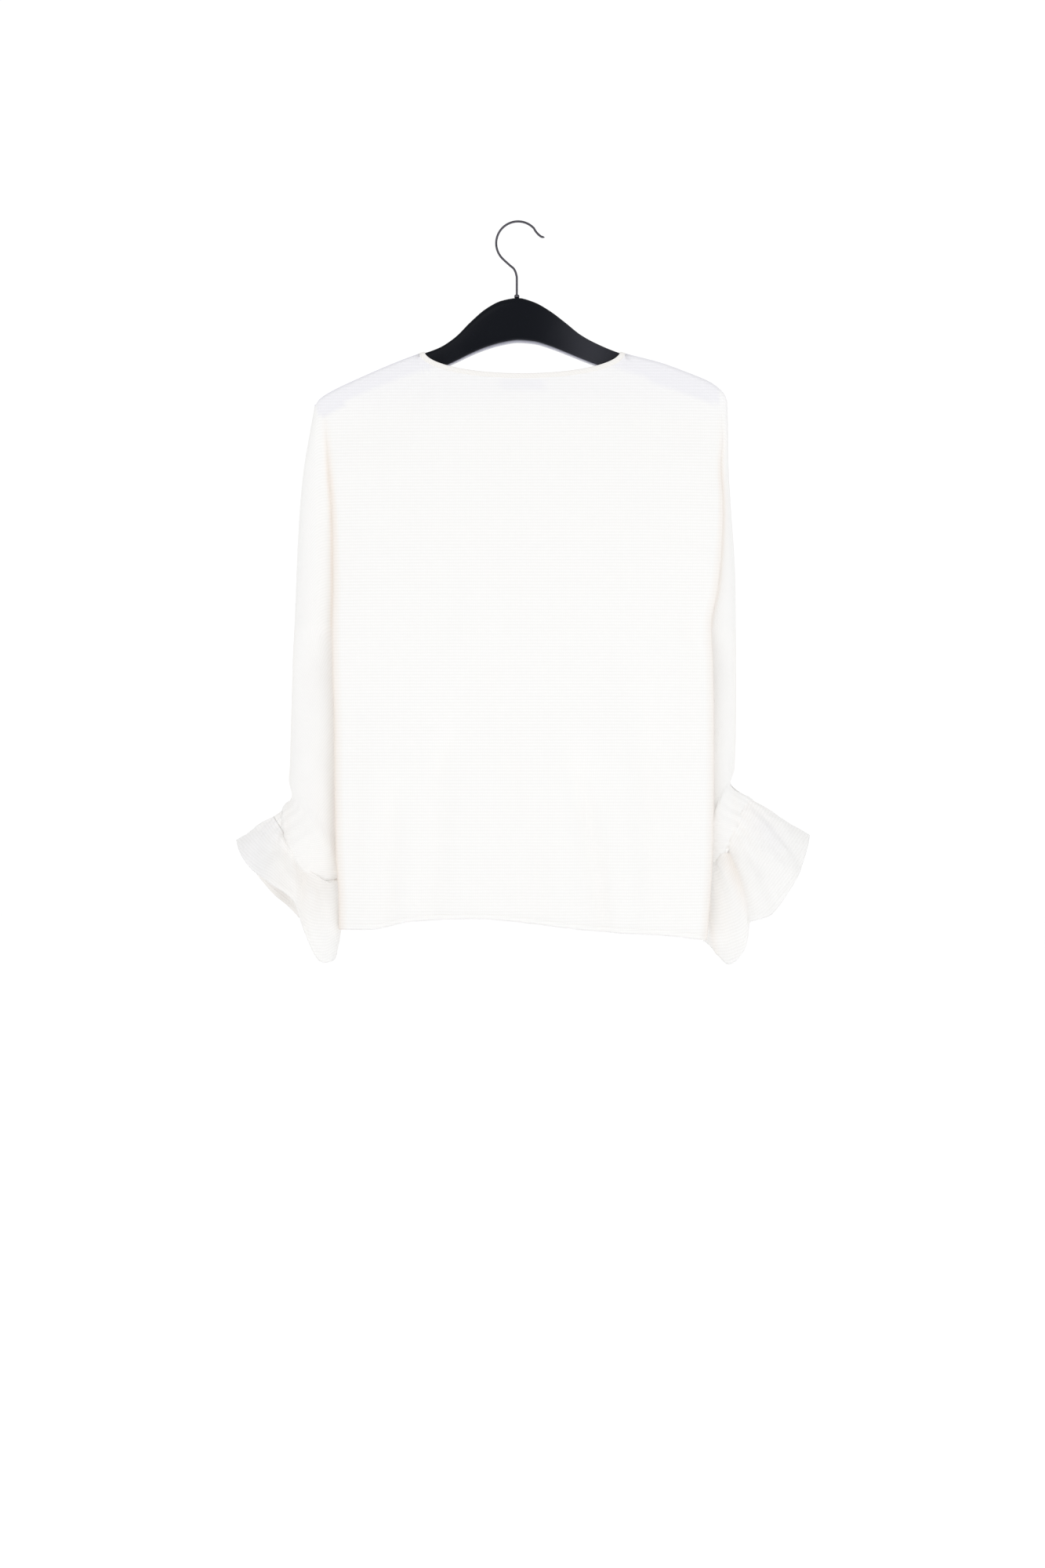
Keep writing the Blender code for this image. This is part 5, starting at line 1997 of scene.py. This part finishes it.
@dataclass
class Hanger:
    """Moulded hanger with its wire hook and the collar between them."""

    half: float = 6.0
    ends: tuple = (-219.0, 222.0)
    columns: int = 150
    section: int = 28
    wire: float = 1.25
    under_drop: float = 3.0
    squareness: float = 0.42
    # Painted sheen on the right arm's face: its place, width and share
    patch_x: float = 82.0
    patch_width: float = 34.0
    patch_shine: float = 0.06
    hook_radius: float = 24.2
    hook_turn: tuple = (44, 224)
    flick: tuple = ((29.6, -16.5), (26.1, -15.7), (22.6, -13.1), (19.4, -9.4))
    bend: tuple = ((-8.9, -47.6), (-4.6, -51.4), (-2.4, -56.0))
    stem_x: float = -1.3
    stem_heights: tuple = (-62.0, -70.0, -80.2)
    turned: tuple = (
        (1.3, -80.3), (2.5, -80.5), (2.9, -81.0), (2.9, -83.0), (2.6, -83.7), (1.3, -83.9)
    )

    def body(self, finishes: Finishes) -> Thing:
        """Body of the hanger: a contoured bar, flat in front with rounded top and bottom edges.

        Args:
            finishes: every finish.

        Returns:
            The bar.
        """
        t = np.linspace(0, np.pi, self.columns)
        x = (self.ends[0] + self.ends[1]) / 2 - (self.ends[1] - self.ends[0]) / 2 * np.cos(t)
        top = through(HANGER, "x", "top", x)
        bottom = through(HANGER, "x", "bottom", x) - self.under_drop * ease((115 - np.abs(x)) / 20)
        close = np.sqrt(np.clip(np.sin(t) / 0.16, 0, 1))
        middle, tall = (top + bottom) / 2, np.maximum((top - bottom) / 2 * close, 0.01)
        angle = np.linspace(0, 2 * np.pi, self.section, endpoint=False)
        across, up = squared_circle(angle, self.squareness)
        grid = np.stack(
            [
                x[:, None] + 0 * up,
                self.half * np.minimum(close + 0.02, 1)[:, None] * across,
                middle[:, None] + tall[:, None] * up,
            ],
            -1,
        )
        # Painted reflection along the bar's underside, and painted sheen on the right arm's face
        under = 0 * grid[..., 0] + np.clip((-up - 0.9) / 0.08, 0, 1)
        patch = bell(x - self.patch_x, self.patch_width)[:, None] * (across < -0.5)
        under = np.maximum(under, self.patch_shine * patch)
        return Draft().tube("hanger_bar", grid, finishes.plastic, painted_light=under)

    def hook_points(self) -> Array:
        """Line of the wire: a flick at its tip, half a turn over the top, then the stem.

        Returns:
            Points of the line.
        """
        centre = self.wire - self.hook_radius
        arc = [
            (self.hook_radius * np.cos(a), centre + self.hook_radius * np.sin(a))
            for a in np.radians(np.linspace(*self.hook_turn, 40))
        ]
        stem = [(self.stem_x, z) for z in self.stem_heights]
        line = np.array([*self.flick, *arc, *self.bend, *stem])
        run = run_along(line)
        at = np.linspace(0, run[-1], 180)
        return np.stack([smooth(run, line[:, 0], at), 0 * at, smooth(run, line[:, 1], at)], 1)

    def hook(self, finishes: Finishes) -> Thing:
        """Wire of the hook as a smooth tube with a rounded tip.

        Args:
            finishes: every finish.

        Returns:
            The wire.
        """
        line = self.hook_points()
        deep = np.array([0, 1, 0])
        side = np.cross(unit(np.gradient(line, axis=0)), deep)
        angle = np.linspace(0, 2 * np.pi, 16, endpoint=False)[None, :, None]
        radius = self.wire * np.sqrt(np.clip(np.arange(len(line)) / 3, 0.12, 1))
        ring = side[:, None] * np.cos(angle) + deep * np.sin(angle)
        grid = line[:, None] + ring * radius[:, None, None]
        return Draft().tube("hook_wire", grid, finishes.chrome)

    def collar(self, finishes: Finishes) -> Thing:
        """Turned collar at the foot of the stem.

        Args:
            finishes: every finish.

        Returns:
            The collar.
        """
        reach, z = (np.array(self.turned)[:, k : k + 1] for k in (0, 1))
        angle = np.linspace(0, 2 * np.pi, 32, endpoint=False)
        across, deep = reach * np.cos(angle), reach * np.sin(angle)
        grid = np.stack([self.stem_x + across, deep, z + 0 * angle], -1)
        return Draft().tube("collar_ring", grid, finishes.chrome, turned=False)


@dataclass
class Blouse:
    """The whole garment on its hanger, and its pieces by name."""

    finishes: Finishes
    pieces: dict[str, Thing] = field(default_factory=dict)

    def add(self, obj: Thing, slot: str, *nodes: str) -> Thing:
        """Keeps a piece, makes it ride and hides the CAD nodes that it replaces.

        Args:
            obj: the piece.
            slot: not used.
            nodes: CAD nodes that it replaces.

        Returns:
            The piece.
        """
        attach(obj, "root")
        if nodes:
            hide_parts(*nodes)
        self.pieces[obj.name] = obj
        LOG.info("%s: %d faces", obj.name, len(obj.data.polygons))
        return obj

    def build(self) -> None:
        made = self.finishes
        hanger = Hanger()
        self.add(hanger.body(made), "black_plastic", "hanger_body")
        self.add(hanger.hook(made), "chrome_wire", "hanger_hook")
        self.add(hanger.collar(made), "chrome_wire", "hook_collar")
        panels = {side: Panel(side) for side in Side}
        shells = {
            side: self.add(panel.make(made), "crepe_ivory", side.name.lower() + "_panel")
            for side, panel in panels.items()
        }
        binding = NeckBinding()
        strip = self.add(binding.make(made), "bias_binding", "neck_binding")
        label = self.add(Label().make(made), "plain_label", "neck_label")
        for side, shell in shells.items():
            row = StitchRow("hem_stitches_" + side.name.lower())
            hem = row.make([panels[side].hem_path[2:-2]], made.thread)
            self.add(hem, "crepe_ivory")
        sewn = StitchRow("binding_stitches").make(binding.stitch_paths(), made.thread)
        self.add(sewn, "bias_binding")
        for hand in Hand:
            cuff = Cuff(hand)
            band = self.add(cuff.band(made), "crepe_ivory", "wrist_band_" + hand.word)
            flounce = self.add(cuff.flounce(made), "crepe_ivory", "ruffle_" + hand.word)
            row = StitchRow("flounce_stitches_" + hand.word).make(cuff.stitch_paths(), made.thread)
            self.add(row, "crepe_ivory")


@dataclass
class Studio:
    """Pale floor, soft lights, an even sky and the camera."""

    eye: tuple = (0.005, -1.9, -0.623)
    tall_at_garment: float = 1.74
    floor_z: float = -1.45
    floor_reach: float = 9.0
    sky_near: float = 0.735
    sky_far: float = 1.04
    sky_from: tuple = (-0.1, 0.6)
    film: float = 36.0

    def ground(self) -> None:
        """Plain pale floor, well below the hem."""
        reach, z = self.floor_reach, self.floor_z
        points = [(-reach, -reach, z), (reach, -reach, z), (reach, reach, z), (-reach, reach, z)]
        mesh = bpy.data.meshes.new("ground")
        mesh.from_pydata(points, [], [(0, 1, 2, 3)])
        mesh.materials.append(GroundFinish().make())
        new_object("ground", mesh)

    def light(self, lamp: Lamp) -> None:
        """Adds a square soft light, turned to its aim.

        Args:
            lamp: where it stands, its power and its aim.
        """
        data = bpy.data.lights.new(lamp.name, "AREA")
        data.shape, data.size, data.energy = "SQUARE", LAMP_SIZE, lamp.power
        obj = new_object(lamp.name, data)
        obj.location = lamp.place
        way = Vector(lamp.aim) - Vector(lamp.place)
        obj.rotation_euler = way.to_track_quat("-Z", "Y").to_euler()

    def sky(self) -> None:
        """Even sky, brighter on the far side of the garment than on the near one."""
        world = bpy.data.worlds.new("studio")
        world.use_nodes = True
        nodes, links = world.node_tree.nodes, world.node_tree.links
        place, parts = nodes.new("ShaderNodeTexCoord"), nodes.new("ShaderNodeSeparateXYZ")
        blend = nodes.new("ShaderNodeMapRange")
        blend.interpolation_type = "SMOOTHSTEP"
        settings = zip(("From Min", "From Max"), self.sky_from)
        settings = [*settings, ("To Min", self.sky_near), ("To Max", self.sky_far)]
        for key, value in settings:
            blend.inputs[key].default_value = value
        links.new(place.outputs["Generated"], parts.inputs["Vector"])
        links.new(parts.outputs["Y"], blend.inputs["Value"])
        links.new(blend.outputs["Result"], nodes["Background"].inputs["Strength"])
        nodes["Background"].inputs["Color"].default_value = (1.0, 1.0, 1.0, 1.0)
        bpy.context.scene.world = world

    def camera(self) -> None:
        """Level camera on the middle of the photograph's frame."""
        data = bpy.data.cameras.new("camera")
        data.sensor_width = self.film
        data.lens = data.sensor_width * -self.eye[1] / self.tall_at_garment
        camera = new_object("camera", data)
        camera.location = self.eye
        camera.rotation_euler = (np.pi / 2, 0, 0)
        bpy.context.scene.camera = camera
        bpy.context.scene.view_settings.view_transform = "Standard"

    def build(self) -> None:
        """Sets the whole studio up."""
        self.camera()
        self.ground()
        for lamp in LAMPS:
            self.light(lamp)
        self.sky()


def main() -> None:
    """Builds the studio and the garment."""
    logging.basicConfig(level=logging.INFO, format="%(name)s: %(message)s")
    Studio().build()
    Blouse(Finishes.make_all()).build()


if __name__ == "__main__":
    main()
